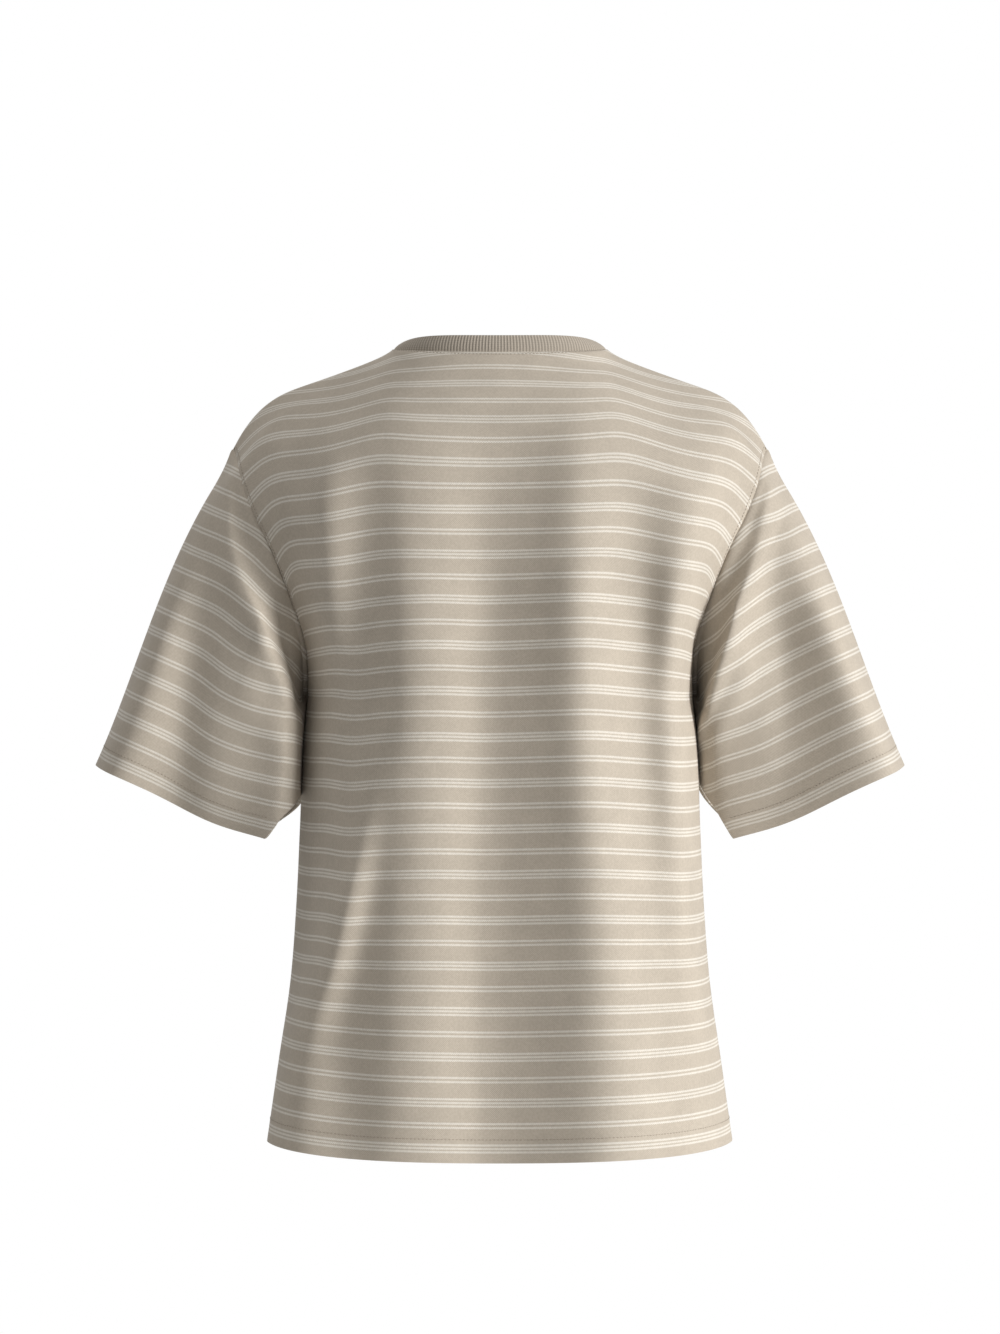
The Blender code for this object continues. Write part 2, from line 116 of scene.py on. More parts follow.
# The armhole, from the armpit up to the shoulder point, seen from the back and the front.
Armhole = namedtuple("Armhole", "z back_x back_y front_x front_y")
ARMHOLE = (
    Armhole(-0.27, 0.1500, -0.006, 0.1500, -0.006),
    Armhole(-0.248, 0.1490, 0.014, 0.1480, -0.026),
    Armhole(-0.225, 0.1510, 0.032, 0.1480, -0.041),
    Armhole(-0.20, 0.1590, 0.044, 0.1530, -0.049),
    Armhole(-0.178, 0.1670, 0.050, 0.1600, -0.050),
    Armhole(-0.155, 0.1765, 0.050, 0.1690, -0.047),
    Armhole(-0.13, 0.1890, 0.045, 0.1820, -0.041),
    Armhole(-0.108, 0.1980, 0.038, 0.1935, -0.034),
    Armhole(-0.09, 0.2030, 0.027, 0.2010, -0.024),
    Armhole(-0.08, 0.2065, 0.014, 0.2060, -0.013),
    Armhole(-0.077, 0.2080, 0.000, 0.2080, 0.000),
)

# ---- Folds of the body ----
# Each fold is a ridge (or a valley, with a negative height) described level by level: where
# its crest lies, how high it stands and how wide it is towards +X and towards -X.
Ridge = namedtuple("Ridge", "z x height plus minus")
BACK_FOLDS = (
    (   # main fold left of the middle, steep on its outer side
        Ridge(-0.66, 0.082, 0.0050, 0.026, 0.036),
        Ridge(-0.54, 0.080, 0.0062, 0.025, 0.036),
        Ridge(-0.42, 0.077, 0.0070, 0.024, 0.036),
        Ridge(-0.30, 0.072, 0.0074, 0.023, 0.036),
        Ridge(-0.19, 0.070, 0.0070, 0.022, 0.034),
        Ridge(-0.115, 0.070, 0.0040, 0.022, 0.032),
        Ridge(-0.04, 0.070, 0.0000, 0.022, 0.030),
    ),
    (   # hollow down the middle
        Ridge(-0.66, 0.012, -0.0105, 0.030, 0.046),
        Ridge(-0.54, 0.013, -0.0125, 0.029, 0.045),
        Ridge(-0.42, 0.013, -0.0125, 0.028, 0.041),
        Ridge(-0.30, 0.012, -0.0118, 0.028, 0.036),
        Ridge(-0.19, 0.011, -0.0105, 0.028, 0.034),
        Ridge(-0.115, 0.009, -0.0060, 0.028, 0.034),
        Ridge(-0.04, 0.006, -0.0024, 0.028, 0.034),
        Ridge(0.01, 0.004, 0.0000, 0.028, 0.034),
    ),
    (   # main fold right of the middle
        Ridge(-0.66, -0.089, 0.0195, 0.045, 0.044),
        Ridge(-0.54, -0.087, 0.0215, 0.041, 0.040),
        Ridge(-0.42, -0.078, 0.0200, 0.034, 0.034),
        Ridge(-0.30, -0.066, 0.0165, 0.029, 0.027),
        Ridge(-0.19, -0.061, 0.0145, 0.027, 0.024),
        Ridge(-0.115, -0.062, 0.0105, 0.028, 0.032),
        Ridge(-0.04, -0.067, 0.0072, 0.030, 0.034),
        Ridge(0.01, -0.067, 0.0000, 0.028, 0.026),
    ),
    (   # small upright fold beside the left armhole
        Ridge(-0.36, 0.130, 0.0000, 0.013, 0.020),
        Ridge(-0.27, 0.131, 0.0066, 0.013, 0.020),
        Ridge(-0.18, 0.132, 0.0100, 0.013, 0.020),
        Ridge(-0.12, 0.132, 0.0072, 0.013, 0.020),
        Ridge(-0.05, 0.130, 0.0000, 0.013, 0.020),
    ),
    (   # and a fuller one beside the right one, that slants down the side
        Ridge(-0.66, -0.164, 0.0070, 0.046, 0.022),
        Ridge(-0.56, -0.157, 0.0100, 0.034, 0.020),
        Ridge(-0.49, -0.150, 0.0170, 0.025, 0.018),
        Ridge(-0.42, -0.143, 0.0200, 0.023, 0.018),
        Ridge(-0.36, -0.139, 0.0255, 0.022, 0.018),
        Ridge(-0.30, -0.136, 0.0265, 0.022, 0.018),
        Ridge(-0.19, -0.137, 0.0255, 0.022, 0.020),
        Ridge(-0.13, -0.147, 0.0190, 0.033, 0.022),
        Ridge(-0.09, -0.158, 0.0140, 0.044, 0.024),
        Ridge(-0.05, -0.165, 0.0070, 0.050, 0.026),
        Ridge(-0.01, -0.168, 0.0000, 0.050, 0.026),
    ),
    (   # slanting fold down to the left end of the hem
        Ridge(-0.66, 0.178, 0.0260, 0.020, 0.050),
        Ridge(-0.59, 0.168, 0.0260, 0.020, 0.038),
        Ridge(-0.53, 0.154, 0.0240, 0.020, 0.026),
        Ridge(-0.48, 0.133, 0.0215, 0.020, 0.019),
        Ridge(-0.42, 0.117, 0.0190, 0.019, 0.017),
        Ridge(-0.36, 0.105, 0.0090, 0.017, 0.017),
        Ridge(-0.30, 0.096, 0.0000, 0.016, 0.018),
    ),
)
FRONT_FOLDS = (
    (   # left of the middle
        Ridge(-0.66, 0.068, 0.0070, 0.050, 0.034),
        Ridge(-0.46, 0.066, 0.0080, 0.050, 0.030),
        Ridge(-0.28, 0.062, 0.0070, 0.044, 0.026),
        Ridge(-0.15, 0.060, 0.0000, 0.036, 0.024),
    ),
    (   # right of the middle
        Ridge(-0.66, -0.072, 0.0070, 0.034, 0.044),
        Ridge(-0.46, -0.066, 0.0080, 0.032, 0.042),
        Ridge(-0.26, -0.060, 0.0066, 0.028, 0.036),
        Ridge(-0.14, -0.056, 0.0000, 0.026, 0.032),
    ),
    (   # short one beside the right side
        Ridge(-0.56, -0.132, 0.0000, 0.020, 0.020),
        Ridge(-0.44, -0.128, 0.0036, 0.020, 0.020),
        Ridge(-0.30, -0.122, 0.0036, 0.018, 0.018),
        Ridge(-0.20, -0.118, 0.0000, 0.016, 0.016),
    ),
    (   # and beside the left
        Ridge(-0.60, 0.140, 0.0000, 0.022, 0.020),
        Ridge(-0.48, 0.128, 0.0040, 0.022, 0.020),
        Ridge(-0.32, 0.116, 0.0034, 0.018, 0.018),
        Ridge(-0.19, 0.112, 0.0000, 0.016, 0.016),
    ),
)

FOLDS = {"back": BACK_FOLDS, "front": FRONT_FOLDS}

# ---- Sleeves ----
# Both are worked out at +X, each by its own tables, and the right one is mirrored to -X.
LEFT = 1.0
RIGHT = -1.0
CUFF_CENTRE = (0.2370, -0.002, -0.3555)
CUFF_TILT = radians(22.4)  # the sleeve hangs this far out from straight down
CUFF_HALF_WIDTH = 0.0855
CUFF_HALF_DEPTH = 0.0430
CUFF_TUCK_FROM = radians(136)  # past this angle the cuff is pushed up against the body
FRONT_TUCK_FROM = radians(131)  # in front it is tucked sooner, so it doesn't show behind
FRONT_TUCK_FULL = radians(160)
CUFF_TUCKS = {LEFT: 0.041, RIGHT: 0.057}
CUFF_DIP = 0.0050  # the cuff hangs lower at the back and front of the arm
CUFF_DIP_AT = radians(100)
CUFF_DIP_SPREAD = radians(28)
SLEEVE_CROWN = 0.0090  # fullness over the arm, greatest a third of the way down
CROWN_SCALE = 27.0 / 4.0  # brings that to its full height
SLEEVE_SWELL = 0.0140  # fullness at the front and back of the arm
UNDERARM_LIP = 0.0048  # step out from the seam under the arm
UNDERARM_LIP_END = 0.020
BACK_LYING_FROM = radians(146)  # from here round the arm it turns in to the body's side
BACK_LYING_TURN = radians(26)
FRONT_LYING_FROM = radians(132)
FRONT_LYING_TURN = radians(24)
BACK_POCKET = 0.20  # below the seam it comes to lie there over this share of it
FRONT_POCKET = 0.09
UNDERARM_SETTLE = 0.030  # and over this height below the armpit
UNDERARM_NEAREST = 0.03  # both shrink to this share at the underarm seam
BODY_CLEARANCE = 0.0007
BACK_LYING_DEPTH = 0.012  # it lies along the body's side this far, then stands off
FRONT_LYING_DEPTH = 0.024
CUFF_TURN = 0.017
HEM_TURN = 0.018

# Folds of a sleeve, level by level from the armhole (share 0) to the cuff (share 1). The
# angle is in degrees round the arm: 0 over it, 90 at the back, -90 at the front. So are the
# widths, towards +180 and towards -180.
Pleat = namedtuple("Pleat", "share angle height plus minus")
SLEEVE_FOLDS = {
    LEFT: (
        (   # ridge down the outer part of the back
            Pleat(0.24, 28, 0.0000, 20, 20),
            Pleat(0.40, 28, 0.0080, 24, 19),
            Pleat(0.60, 31, 0.0165, 27, 18),
            Pleat(0.80, 33, 0.0215, 30, 18),
            Pleat(1.05, 35, 0.0225, 32, 17),
        ),
        (   # hollow beside it
            Pleat(0.22, 58, 0.0000, 14, 16),
            Pleat(0.45, 60, -0.0060, 14, 16),
            Pleat(0.65, 66, -0.0070, 15, 16),
            Pleat(0.85, 74, -0.0080, 15, 17),
            Pleat(1.05, 80, -0.0080, 16, 18),
        ),
        (   # middle ridge
            Pleat(0.10, 96, 0.0030, 16, 16),
            Pleat(0.35, 96, 0.0030, 16, 15),
            Pleat(0.60, 98, 0.0000, 18, 15),
        ),
        (   # inner part, hanging nearly flat to the fold that is its edge
            Pleat(0.22, 146, 0.0000, 14, 36),
            Pleat(0.40, 154, 0.0300, 20, 40),
            Pleat(0.70, 158, 0.0385, 20, 35),
            Pleat(1.05, 158, 0.0420, 20, 34),
        ),
        (   # ridge down the middle of the front
            Pleat(0.05, -80, 0.0000, 18, 18),
            Pleat(0.50, -84, 0.0060, 18, 18),
            Pleat(1.05, -88, 0.0070, 20, 20),
        ),
        (   # ridge down its outer part
            Pleat(0.30, -30, 0.0000, 16, 16),
            Pleat(0.70, -34, 0.0050, 16, 16),
            Pleat(1.05, -36, 0.0060, 18, 18),
        ),
    ),
    RIGHT: (
        (   # ridge down the outer part of the back
            Pleat(0.14, 40, 0.0000, 20, 20),
            Pleat(0.32, 36, 0.0130, 22, 20),
            Pleat(0.60, 36, 0.0250, 25, 18),
            Pleat(1.05, 36, 0.0390, 46, 17),
        ),
        (   # wide hollow that slants inwards
            Pleat(0.14, 76, 0.0000, 22, 18),
            Pleat(0.38, 76, -0.0120, 24, 19),
            Pleat(0.62, 88, -0.0135, 60, 25),
            Pleat(0.80, 100, -0.0120, 70, 34),
            Pleat(1.05, 120, -0.0065, 70, 40),
        ),
        (   # low ridge at its inner edge
            Pleat(0.26, 148, 0.0000, 14, 24),
            Pleat(0.45, 152, 0.0060, 14, 26),
            Pleat(1.05, 152, 0.0050, 14, 28),
        ),
        (   # ridge down the middle of the front
            Pleat(0.05, -94, 0.0000, 18, 18),
            Pleat(0.55, -92, 0.0060, 18, 18),
            Pleat(1.05, -90, 0.0066, 20, 20),
        ),
        (   # ridge down its outer part
            Pleat(0.25, -40, 0.0000, 16, 16),
            Pleat(0.65, -38, 0.0050, 16, 16),
            Pleat(1.05, -38, 0.0060, 18, 18),
        ),
    ),
}
PLEAT_EASE_SHARE = 0.15  # below the armhole they come up over this share of the sleeve

OVER_EASE_SHARE = 0.12  # below the shoulder point the sleeve is rounded off fully from here
OVER_EASE_ANGLE = radians(50)
OVER_EASE_ROUNDS = 60
LIFT_TURN = radians(8)  # over the arm the folds change from the back's side to the front's

# The ridge that each sleeve folds into round its armhole, place by place round the arm: where
# its crest lies, how high it stands and how wide it is towards the cuff and the armhole.
Hoop = namedtuple("Hoop", "angle share height plus minus")
HOOPS = {
    LEFT: (
        Hoop(4, 0.020, 0.0000, 0.06, 0.030),
        Hoop(30, 0.055, 0.0030, 0.07, 0.030),
        Hoop(53, 0.130, 0.0060, 0.09, 0.050),
        Hoop(75, 0.190, 0.0080, 0.10, 0.060),
        Hoop(100, 0.215, 0.0125, 0.11, 0.045),
        Hoop(130, 0.235, 0.0175, 0.12, 0.036),
        Hoop(152, 0.260, 0.0190, 0.12, 0.034),
        Hoop(166, 0.290, 0.0160, 0.12, 0.034),
        Hoop(174, 0.320, 0.0080, 0.12, 0.040),
        Hoop(180, 0.330, 0.0000, 0.12, 0.050),
    ),
    RIGHT: (
        Hoop(4, 0.020, 0.0000, 0.06, 0.030),
        Hoop(45, 0.070, 0.0040, 0.07, 0.040),
        Hoop(80, 0.145, 0.0085, 0.09, 0.050),
        Hoop(104, 0.190, 0.0115, 0.11, 0.045),
        Hoop(130, 0.245, 0.0165, 0.12, 0.036),
        Hoop(150, 0.280, 0.0180, 0.12, 0.034),
        Hoop(166, 0.320, 0.0160, 0.12, 0.036),
        Hoop(174, 0.340, 0.0080, 0.12, 0.040),
        Hoop(180, 0.350, 0.0000, 0.12, 0.050),
    ),
}
HOOP_FRONT = 0.6  # the front's ridge is lower
HOOP_EASE_SHARE = 0.06  # below the armhole it comes up over this share of the sleeve

# ---- Grids ----
COLUMNS = 168
NECK_SHARE = 3.0 / 7.0  # of the columns, those that end on the neck
LOW_ROWS = 150  # hem to armpit
HIGH_ROWS = 138  # armpit to shoulder
WIDEST_ROW = LOW_ROWS + HIGH_ROWS // 3
SLEEVE_ROWS = 112
SLEEVE_ROWS_EVEN = 0.6  # share of their spacing that is even; the rest grows to the cuff
RIB_ROWS = 9
RIB_STEPS = 6  # columns in each knitted rib
NECK_PATH_STEPS = 400
PATH_STEPS = 240
YOKE_EASE_DEPTH = 0.030  # below its seam the cloth is evened out fully from here
YOKE_EASE_FULL = 0.150  # and down to here, fading over the next stretch
YOKE_EASE_FADE = 0.080
YOKE_EASE_ROUNDS = 90
COURSES_EASE_FROM = -0.200  # above this height the courses are evened out
COURSES_EASE_FADE = 0.060
COURSES_EASE_ROUNDS = 160

# ---- Pinstripes ----
STRIPE_PITCH = 0.01732
HEM_STRIPE = 0.0112  # the lowest group of the body lies this far above the hem
CUFF_STRIPE = 0.0110
TUCK_COURSES = {LEFT: 0.038, RIGHT: 0.060}  # the courses run on where the cuff is tucked up
LINE_HALF = 0.00078
LINE_SOFTNESS = 0.3  # share of it on both sides of its edge that is blurred
PAIR_HALF_SPACING = 0.00155
TRIPLE_SPACING = 0.00265
SAG_PLUS = 0.0075  # the courses hang lower towards the sides, by this on the left
SAG_MINUS = 0.0100  # and by this on the right
SAG_HALF = 0.160  # this far out from the middle
SAG_FULL_Z = -0.360
SAG_END_Z = -0.580
NECK_LIFT = 0.0060  # beside the neck they are drawn up
NECK_LIFT_FROM_Z = -0.125
NECK_LIFT_DEPTH = 0.070
NECK_LIFT_HALF = 0.055
WALE = 0.00150  # the knit's repeat, across and up
COURSE = 0.00150
COURSE_WAVE = 0.0005  # the stitches wave the pinstripes' edges by this

# ---- Stitches and seams ----
HEM_STITCH = 0.0178  # each row's distance from its edge
CUFF_STITCH = 0.0166
SEAM_STITCH = 0.0044
SEAM_STITCH_CLEAR = 2  # rows of the grid left free at both ends of the armhole
NECK_STITCH = 0.0040
STITCH_PITCH = 0.0029
STITCH_LENGTH = 0.0021
STITCH_RADIUS = 0.00026
STITCH_SIDES = 6
STITCH_STEPS = (0.0, 0.22, 0.78, 1.0)  # rings along a stitch
STITCH_SIZES = (0.35, 1.0, 1.0, 0.35)
STITCH_RISES = (-0.00015, 0.0001, 0.0001, -0.00015)
SEAM_PUFF = 0.0010  # beside its seams the cloth is prouder, most at this distance
SEAM_PUFF_REACH = 0.0045

# ---- Record of a piece's cut ----
Cut = namedtuple("Cut", "name flat area")  # flat is its width and length

# ---- Studio ----
FLOOR_Z = -1.05
FLOOR_RADIUS = 1.45
FLOOR_STEPS = 96
FLOOR_COLOUR = (0.88, 0.88, 0.87, 1.0)
FLOOR_ROUGHNESS = 0.95
AMBIENT = 0.345
WHITE = (1.0, 1.0, 1.0, 1.0)
LIGHT_TARGET = (0.0, 0.0, -0.3)
Light = namedtuple("Light", "name place size power")
LIGHTS = (
    Light("key", (-3.05, 1.70, -0.10), 1.2, 137.0),
    Light("top", (0.7, 0.5, 2.6), 1.6, 28.0),
    Light("front", (0.6, -3.0, 1.2), 2.0, 40.0),
)
CAMERA_PLACE = (0.0, 3.0, -0.247)
CAMERA_TURN = (radians(90), 0.0, radians(180))
CAMERA_FOCAL_PIXELS = 3846.0
PHOTO_HEIGHT = 1334.0
SENSOR = 36.0

# ---- Colours, linear ----
TAUPE = (0.452, 0.396, 0.325, 1.0)
OFF_WHITE = (0.620, 0.577, 0.508, 1.0)
RIB_TAUPE = (0.400, 0.350, 0.290, 1.0)
THREAD = (0.360, 0.310, 0.250, 1.0)
THREAD_DARK = (0.270, 0.230, 0.185, 1.0)

# ---- Finish ----
# Each tone is a range that multiplies the colour, from a noise's or a relief's low to its high. The
# tones by a relief are painted shade, darker low in it and lighter on top.
Noise = namedtuple("Noise", "scale detail low high")
CLOUD = Noise(38.0, 3.0, 0.30, 0.70)  # unevenness of the dye
GRAIN = Noise(560.0, 2.0, 0.32, 0.68)  # unevenness of the yarn
THREAD_NOISE = Noise(900.0, 2.0, 0.30, 0.70)
CLOUD_TONES = (0.965, 1.03)
GRAIN_TONES = (0.955, 1.035)
# Painted shade of the knit: darker low in its stitches, lighter on their tops.
KNIT_PAINTED_SHADE = (0.89, 1.08)
# Painted shade of the neck band: darker between its ribs and between its courses.
RIB_PAINTED_SHADE = (0.72, 1.06)  # between the ribs and on them
RIB_COURSE_PAINTED_SHADE = (0.95, 1.03)
JERSEY_RELIEF = 0.00016
RIB_RELIEF = 0.00008
THREAD_RELIEF = 0.00005
ROUGHNESSES = (0.95, 0.85)  # low down in the relief and on top of it
SPECULAR = 0.2
SHEEN = 0.08
SHEEN_ROUGHNESS = 0.5
BUMP_STRENGTH = 0.6


def ease(value):
    """Smooth step from 0 to 1."""
    value = np.clip(value, 0.0, 1.0)
    return value * value * (3.0 - 2.0 * value)


def smooth_curve(places, values, wanted):
    """Values at the wanted places, on a smooth curve through the given ones."""
    slopes = np.gradient(values, places)
    wanted = np.clip(wanted, places[0], places[-1])
    low = np.clip(np.searchsorted(places, wanted, side="right") - 1, 0, len(places) - 2)
    span = places[low + 1] - places[low]
    t = (wanted - places[low]) / span
    rise = t * t * (3.0 - 2.0 * t)
    bend = span * (slopes[low] * t * (1.0 - t) ** 2 - slopes[low + 1] * t * t * (1.0 - t))
    return values[low] * (1.0 - rise) + values[low + 1] * rise + bend


def along(table, column, wanted):
    """One column of a table, by the table's first column."""
    places = np.array([row[0] for row in table], float)
    values = np.array([getattr(row, column) for row in table], float)
    return smooth_curve(places, values, wanted)


def arch(share):
    """Rises from 0 to 1 halfway and falls back to 0."""
    return 4.0 * share * (1.0 - share)


def shoulder_height(x):
    """Height of the shoulder seam at each place across."""
    run = np.abs(x) - NECK_HALF
    share = np.maximum(run / (SHOULDER_HALF - NECK_HALF), 0.0)
    past = np.maximum(0.0, np.abs(x) - SHOULDER_ROUND_FROM) / (SHOULDER_HALF - SHOULDER_ROUND_FROM)
    dip = SHOULDER_DIP * np.sin(pi * np.sqrt(share))
    return -tan(SHOULDER_SLOPE) * run - dip - SHOULDER_ROUND_DROP * past ** SHOULDER_ROUND_POWER


def top_edge(panel, s):
    """Where the columns of a panel end: on the neck seam, or past it on the shoulder seam."""
    side = np.where(s >= 0.0, 1.0, -1.0)
    share = (np.abs(s) - NECK_SHARE) / (1.0 - NECK_SHARE)
    x = NECK_HALF + (SHOULDER_HALF - NECK_HALF) * np.maximum(share, 0.0)
    on_shoulder = np.stack((side * x, 0.0 * x, shoulder_height(x)), axis=-1)
    angle = 0.5 * pi * np.minimum(np.abs(s) / NECK_SHARE, 1.0)
    depth = NECK_BACK if panel == "back" else -NECK_FRONT
    drop = NECK_BACK_DROP if panel == "back" else NECK_FRONT_DROP
    parts = (side * NECK_HALF * np.sin(angle), depth * np.cos(angle), -drop * np.cos(angle))
    on_neck = np.stack(parts, axis=-1)
    return np.where((share >= 0.0)[..., None], on_shoulder, on_neck)


def edge_point(panel, z, raised):
    """Outer edge of a panel: the side seam below the armpit, the armhole above it."""
    low = z <= ARMPIT_Z
    x = np.where(low, along(SECTIONS, "half_width", z), along(ARMHOLE, panel + "_x", z))
    y = np.where(low, along(SECTIONS, "side", z), along(ARMHOLE, panel + "_y", z - raised))
    return x, y


def fold_height(folds, column, across, level):
    """How far folds move the cloth out. Their crests' places across are in the given column."""
    total = np.zeros_like(across)
    for fold in folds:
        off = across - along(fold, column, level)
        width = np.where(off > 0.0, along(fold, "plus", level), along(fold, "minus", level))
        total += along(fold, "height", level) * np.exp(-((off / width) ** 2))
    return total


def share_out(panel, drop, top):
    """How far out to the body's full depth the cloth has come, at a drop below its seam."""
    yoke = YOKES[panel]
    neckness = np.abs(top[..., 1]) / (NECK_BACK if panel == "back" else NECK_FRONT)
    radius = SHOULDER_TURN_RADIUS * (1.0 - neckness)
    power = yoke.power + (yoke.neck_power - yoke.power) * neckness
    whole = np.sqrt(yoke.depth * (yoke.depth + 2.0 * radius))
    reach = np.minimum(np.sqrt(drop * (drop + 2.0 * radius)) / whole, 1.0)
    return 1.0 - (1.0 - reach) ** power


def body_point(panel, s, z, top):
    """Points of a panel's unfolded skin, each with how freely its cloth can fold."""
    drop = np.maximum(top[..., 2] - z, 0.0)
    raised = (top[..., 2] - ARMHOLE[-1].z) * (1.0 - ease(drop / WIDEN_DEPTH))
    edge_x, edge_y = edge_point(panel, z, raised)
    top_ratio = top[..., 0] / SHOULDER_HALF
    low_ratio = s * (1.0 + COLUMN_CROWDING - COLUMN_CROWDING * s * s)
    ratio = top_ratio + (low_ratio - top_ratio) * ease(drop / WIDEN_DEPTH)
    x = edge_x * ratio
    openness = ease((z - ARMPIT_Z) / ARMHOLE_OPENING)
    root = SIDE_ROOT + ARMHOLE_ROOT * openness
    crown = np.maximum(1.0 - np.abs(ratio) ** SIDE_POWER, 0.0) ** root
    y = edge_y + (along(SECTIONS, panel, z) - edge_y) * crown
    out = share_out(panel, drop, top)
    out += (1.0 - out) * np.abs(s) ** EDGE_POWER * ease(drop / EDGE_SETTLE)
    y = top[..., 1] + (y - top[..., 1]) * out
    give = np.minimum(1.0, FOLD_GIVE * crown) * out
    points = np.stack((x, y, z, give), axis=-1)
    top = np.concatenate((top, 0.0 * top[..., :1]), axis=-1)
    return np.where((drop == 0.0)[..., None], top, points)


def travelled(path):
    """Distance along a path to each of its points."""
    steps = np.linalg.norm(np.diff(path, axis=0), axis=-1)
    return np.concatenate((np.zeros((1,) + steps.shape[1:]), np.cumsum(steps, axis=0)))


def travelled_back(path):
    """Distance along a path from its end back to each of its points."""
    return travelled(path[::-1])[::-1]


def evenly(path, count):
    """Points at even distances along a path, count of them, with all that its points carry."""
    places = travelled(path[:, :3])
    wanted = np.linspace(0.0, places[-1], count)
    return read_at(path, places, wanted)


def read_at(path, places, wanted):
    """The path's points, or what they carry, at the wanted distances along it."""
    axes = range(path.shape[1])
    return np.stack([np.interp(wanted, places, path[:, axis]) for axis in axes], axis=-1)


def panel_grid(panel):
    """Outer skin of a panel as rows from hem to top, each from the right side to the left."""
    s = np.linspace(-1.0, 1.0, COLUMNS + 1)
    top = top_edge(panel, s)
    hem_z = SECTIONS[0].z
    span = ARMPIT_Z - hem_z
    level = np.linspace(0.0, span, LOW_ROWS + 1)[:-1, None]
    low = body_point(panel, s[None, :], hem_z + level + 0.0 * s, top[None, :, :])
    rise = HEM_SIDE_RISE * np.abs(s) ** HEM_RISE_POWER
    low[..., 2] += rise * (1.0 - level / span) ** HEM_RISE_FADE_POWER
    share = np.sin(0.5 * pi * np.linspace(0.0, 1.0, PATH_STEPS + 1))[:, None]
    high = body_point(panel, s[None, :], ARMPIT_Z + (top[:, 2] - ARMPIT_Z) * share, top[None, :, :])
    columns = [evenly(high[:, column], HIGH_ROWS + 1) for column in range(COLUMNS + 1)]
    grid = np.concatenate((low, np.array(columns).transpose(1, 0, 2)))
    points, give = eased_yoke(grid[..., :3]), grid[..., 3]
    lift = fold_height(FOLDS[panel], "x", points[..., 0], points[..., 2]) * give
    return brought_out(points, lift if panel == "back" else -lift)


def brought_out(points, lift):
    """Moves cloth in or out along Y; as it comes out it also draws a little towards eye level."""
    points[..., 2] -= (points[..., 2] - CAMERA_PLACE[2]) * lift / (CAMERA_PLACE[1] - points[..., 1])
    points[..., 1] += lift
    return points


def evened(values, weight, rounds):
    """Draws each value towards the mean of its neighbours in its row, by half its weight."""
    for _ in range(rounds):
        mean = 0.5 * (np.roll(values, 1, axis=1) + np.roll(values, -1, axis=1))
        values = values + 0.5 * weight * (mean - values)
    return values


def held_at_ends(weight):
    """The weights of a panel's rows, whose ends stay where they are."""
    weight[:, (0, -1)] = 0.0
    return weight


def eased_yoke(points):
    """Evens out the cloth sideways below the neck, where the neck's corners would show in it."""
    below = (points[-1, :, 2].max() - points[:, COLUMNS // 2, 2])[:, None]
    weight = ease(travelled_back(points) / YOKE_EASE_DEPTH)
    weight *= 1.0 - ease((below - YOKE_EASE_FULL) / YOKE_EASE_FADE)
    return evened(points, held_at_ends(weight)[..., None], YOKE_EASE_ROUNDS)


def cuff_tuck(angle):
    """How far in the cuff is tucked round the arm: 0 outside, 1 at the underarm seam."""
    start = np.where(angle < 0.0, -cos(FRONT_TUCK_FROM), -cos(CUFF_TUCK_FROM))
    full = np.where(angle < 0.0, -cos(FRONT_TUCK_FULL), 1.0)
    return np.clip((-np.cos(angle) - start) / (full - start), 0.0, 1.0)


def cuff_point(angle):
    """Points of the cuff's edge at +X before it is tucked; angle 0 is over the arm."""
    across = np.array((cos(CUFF_TILT), 0.0, sin(CUFF_TILT)))
    points = np.array(CUFF_CENTRE) + across * (CUFF_HALF_WIDTH * np.cos(angle))[..., None]
    points[..., 1] += CUFF_HALF_DEPTH * np.sin(angle)
    dip = np.exp(-(((np.abs(angle) - CUFF_DIP_AT) / CUFF_DIP_SPREAD) ** 2))
    points[..., 2] -= CUFF_DIP * dip
    return points


def body_half_width(y, z):
    """Half of the body's width at each depth and height, below the armpit."""
    middle = along(SECTIONS, "side", z)
    deep = np.where(y > middle, along(SECTIONS, "back", z), along(SECTIONS, "front", z))
    share = np.minimum(np.abs((y - middle) / (deep - middle)), 1.0)
    return along(SECTIONS, "half_width", z) * (1.0 - share * share) ** (1.0 / SIDE_POWER)


def sleeve_fold_height(side, share, angle):
    """How far the folds down a sleeve and the one round its armhole move its cloth out."""
    turn = np.degrees(angle)
    pleats = fold_height(SLEEVE_FOLDS[side], "angle", turn, share)
    hoop = fold_height((HOOPS[side],), "share", share, np.abs(turn))
    hoop *= np.where(angle < 0.0, HOOP_FRONT, 1.0)
    return pleats * ease(share / PLEAT_EASE_SHARE) + hoop * ease(share / HOOP_EASE_SHARE)


def sleeve_grid(armhole, side):
    """Outer skin of a sleeve: rows from the armhole to the cuff, each a closed ring."""
    mirror = np.array((side, 1.0, 1.0))
    start = armhole * mirror
    turn = ring_angles(len(armhole))
    cuff = cuff_point(turn)
    share, angle = np.meshgrid(sleeve_shares(), turn, indexing="ij")
    share = share * (1.0 - CUFF_TUCKS[side] * cuff_tuck(turn) / (start[:, 2] - cuff[:, 2]))
    points = start[None] + (cuff[None] - start[None]) * share[..., None]
    points = filled_out(points, share, angle)
    lift = sleeve_fold_height(side, share, angle)
    points = brought_out(points, lift * np.tanh(angle / LIFT_TURN))
    points = laid_on_body(points, share, angle)
    return rounded_over(points, share, angle) * mirror


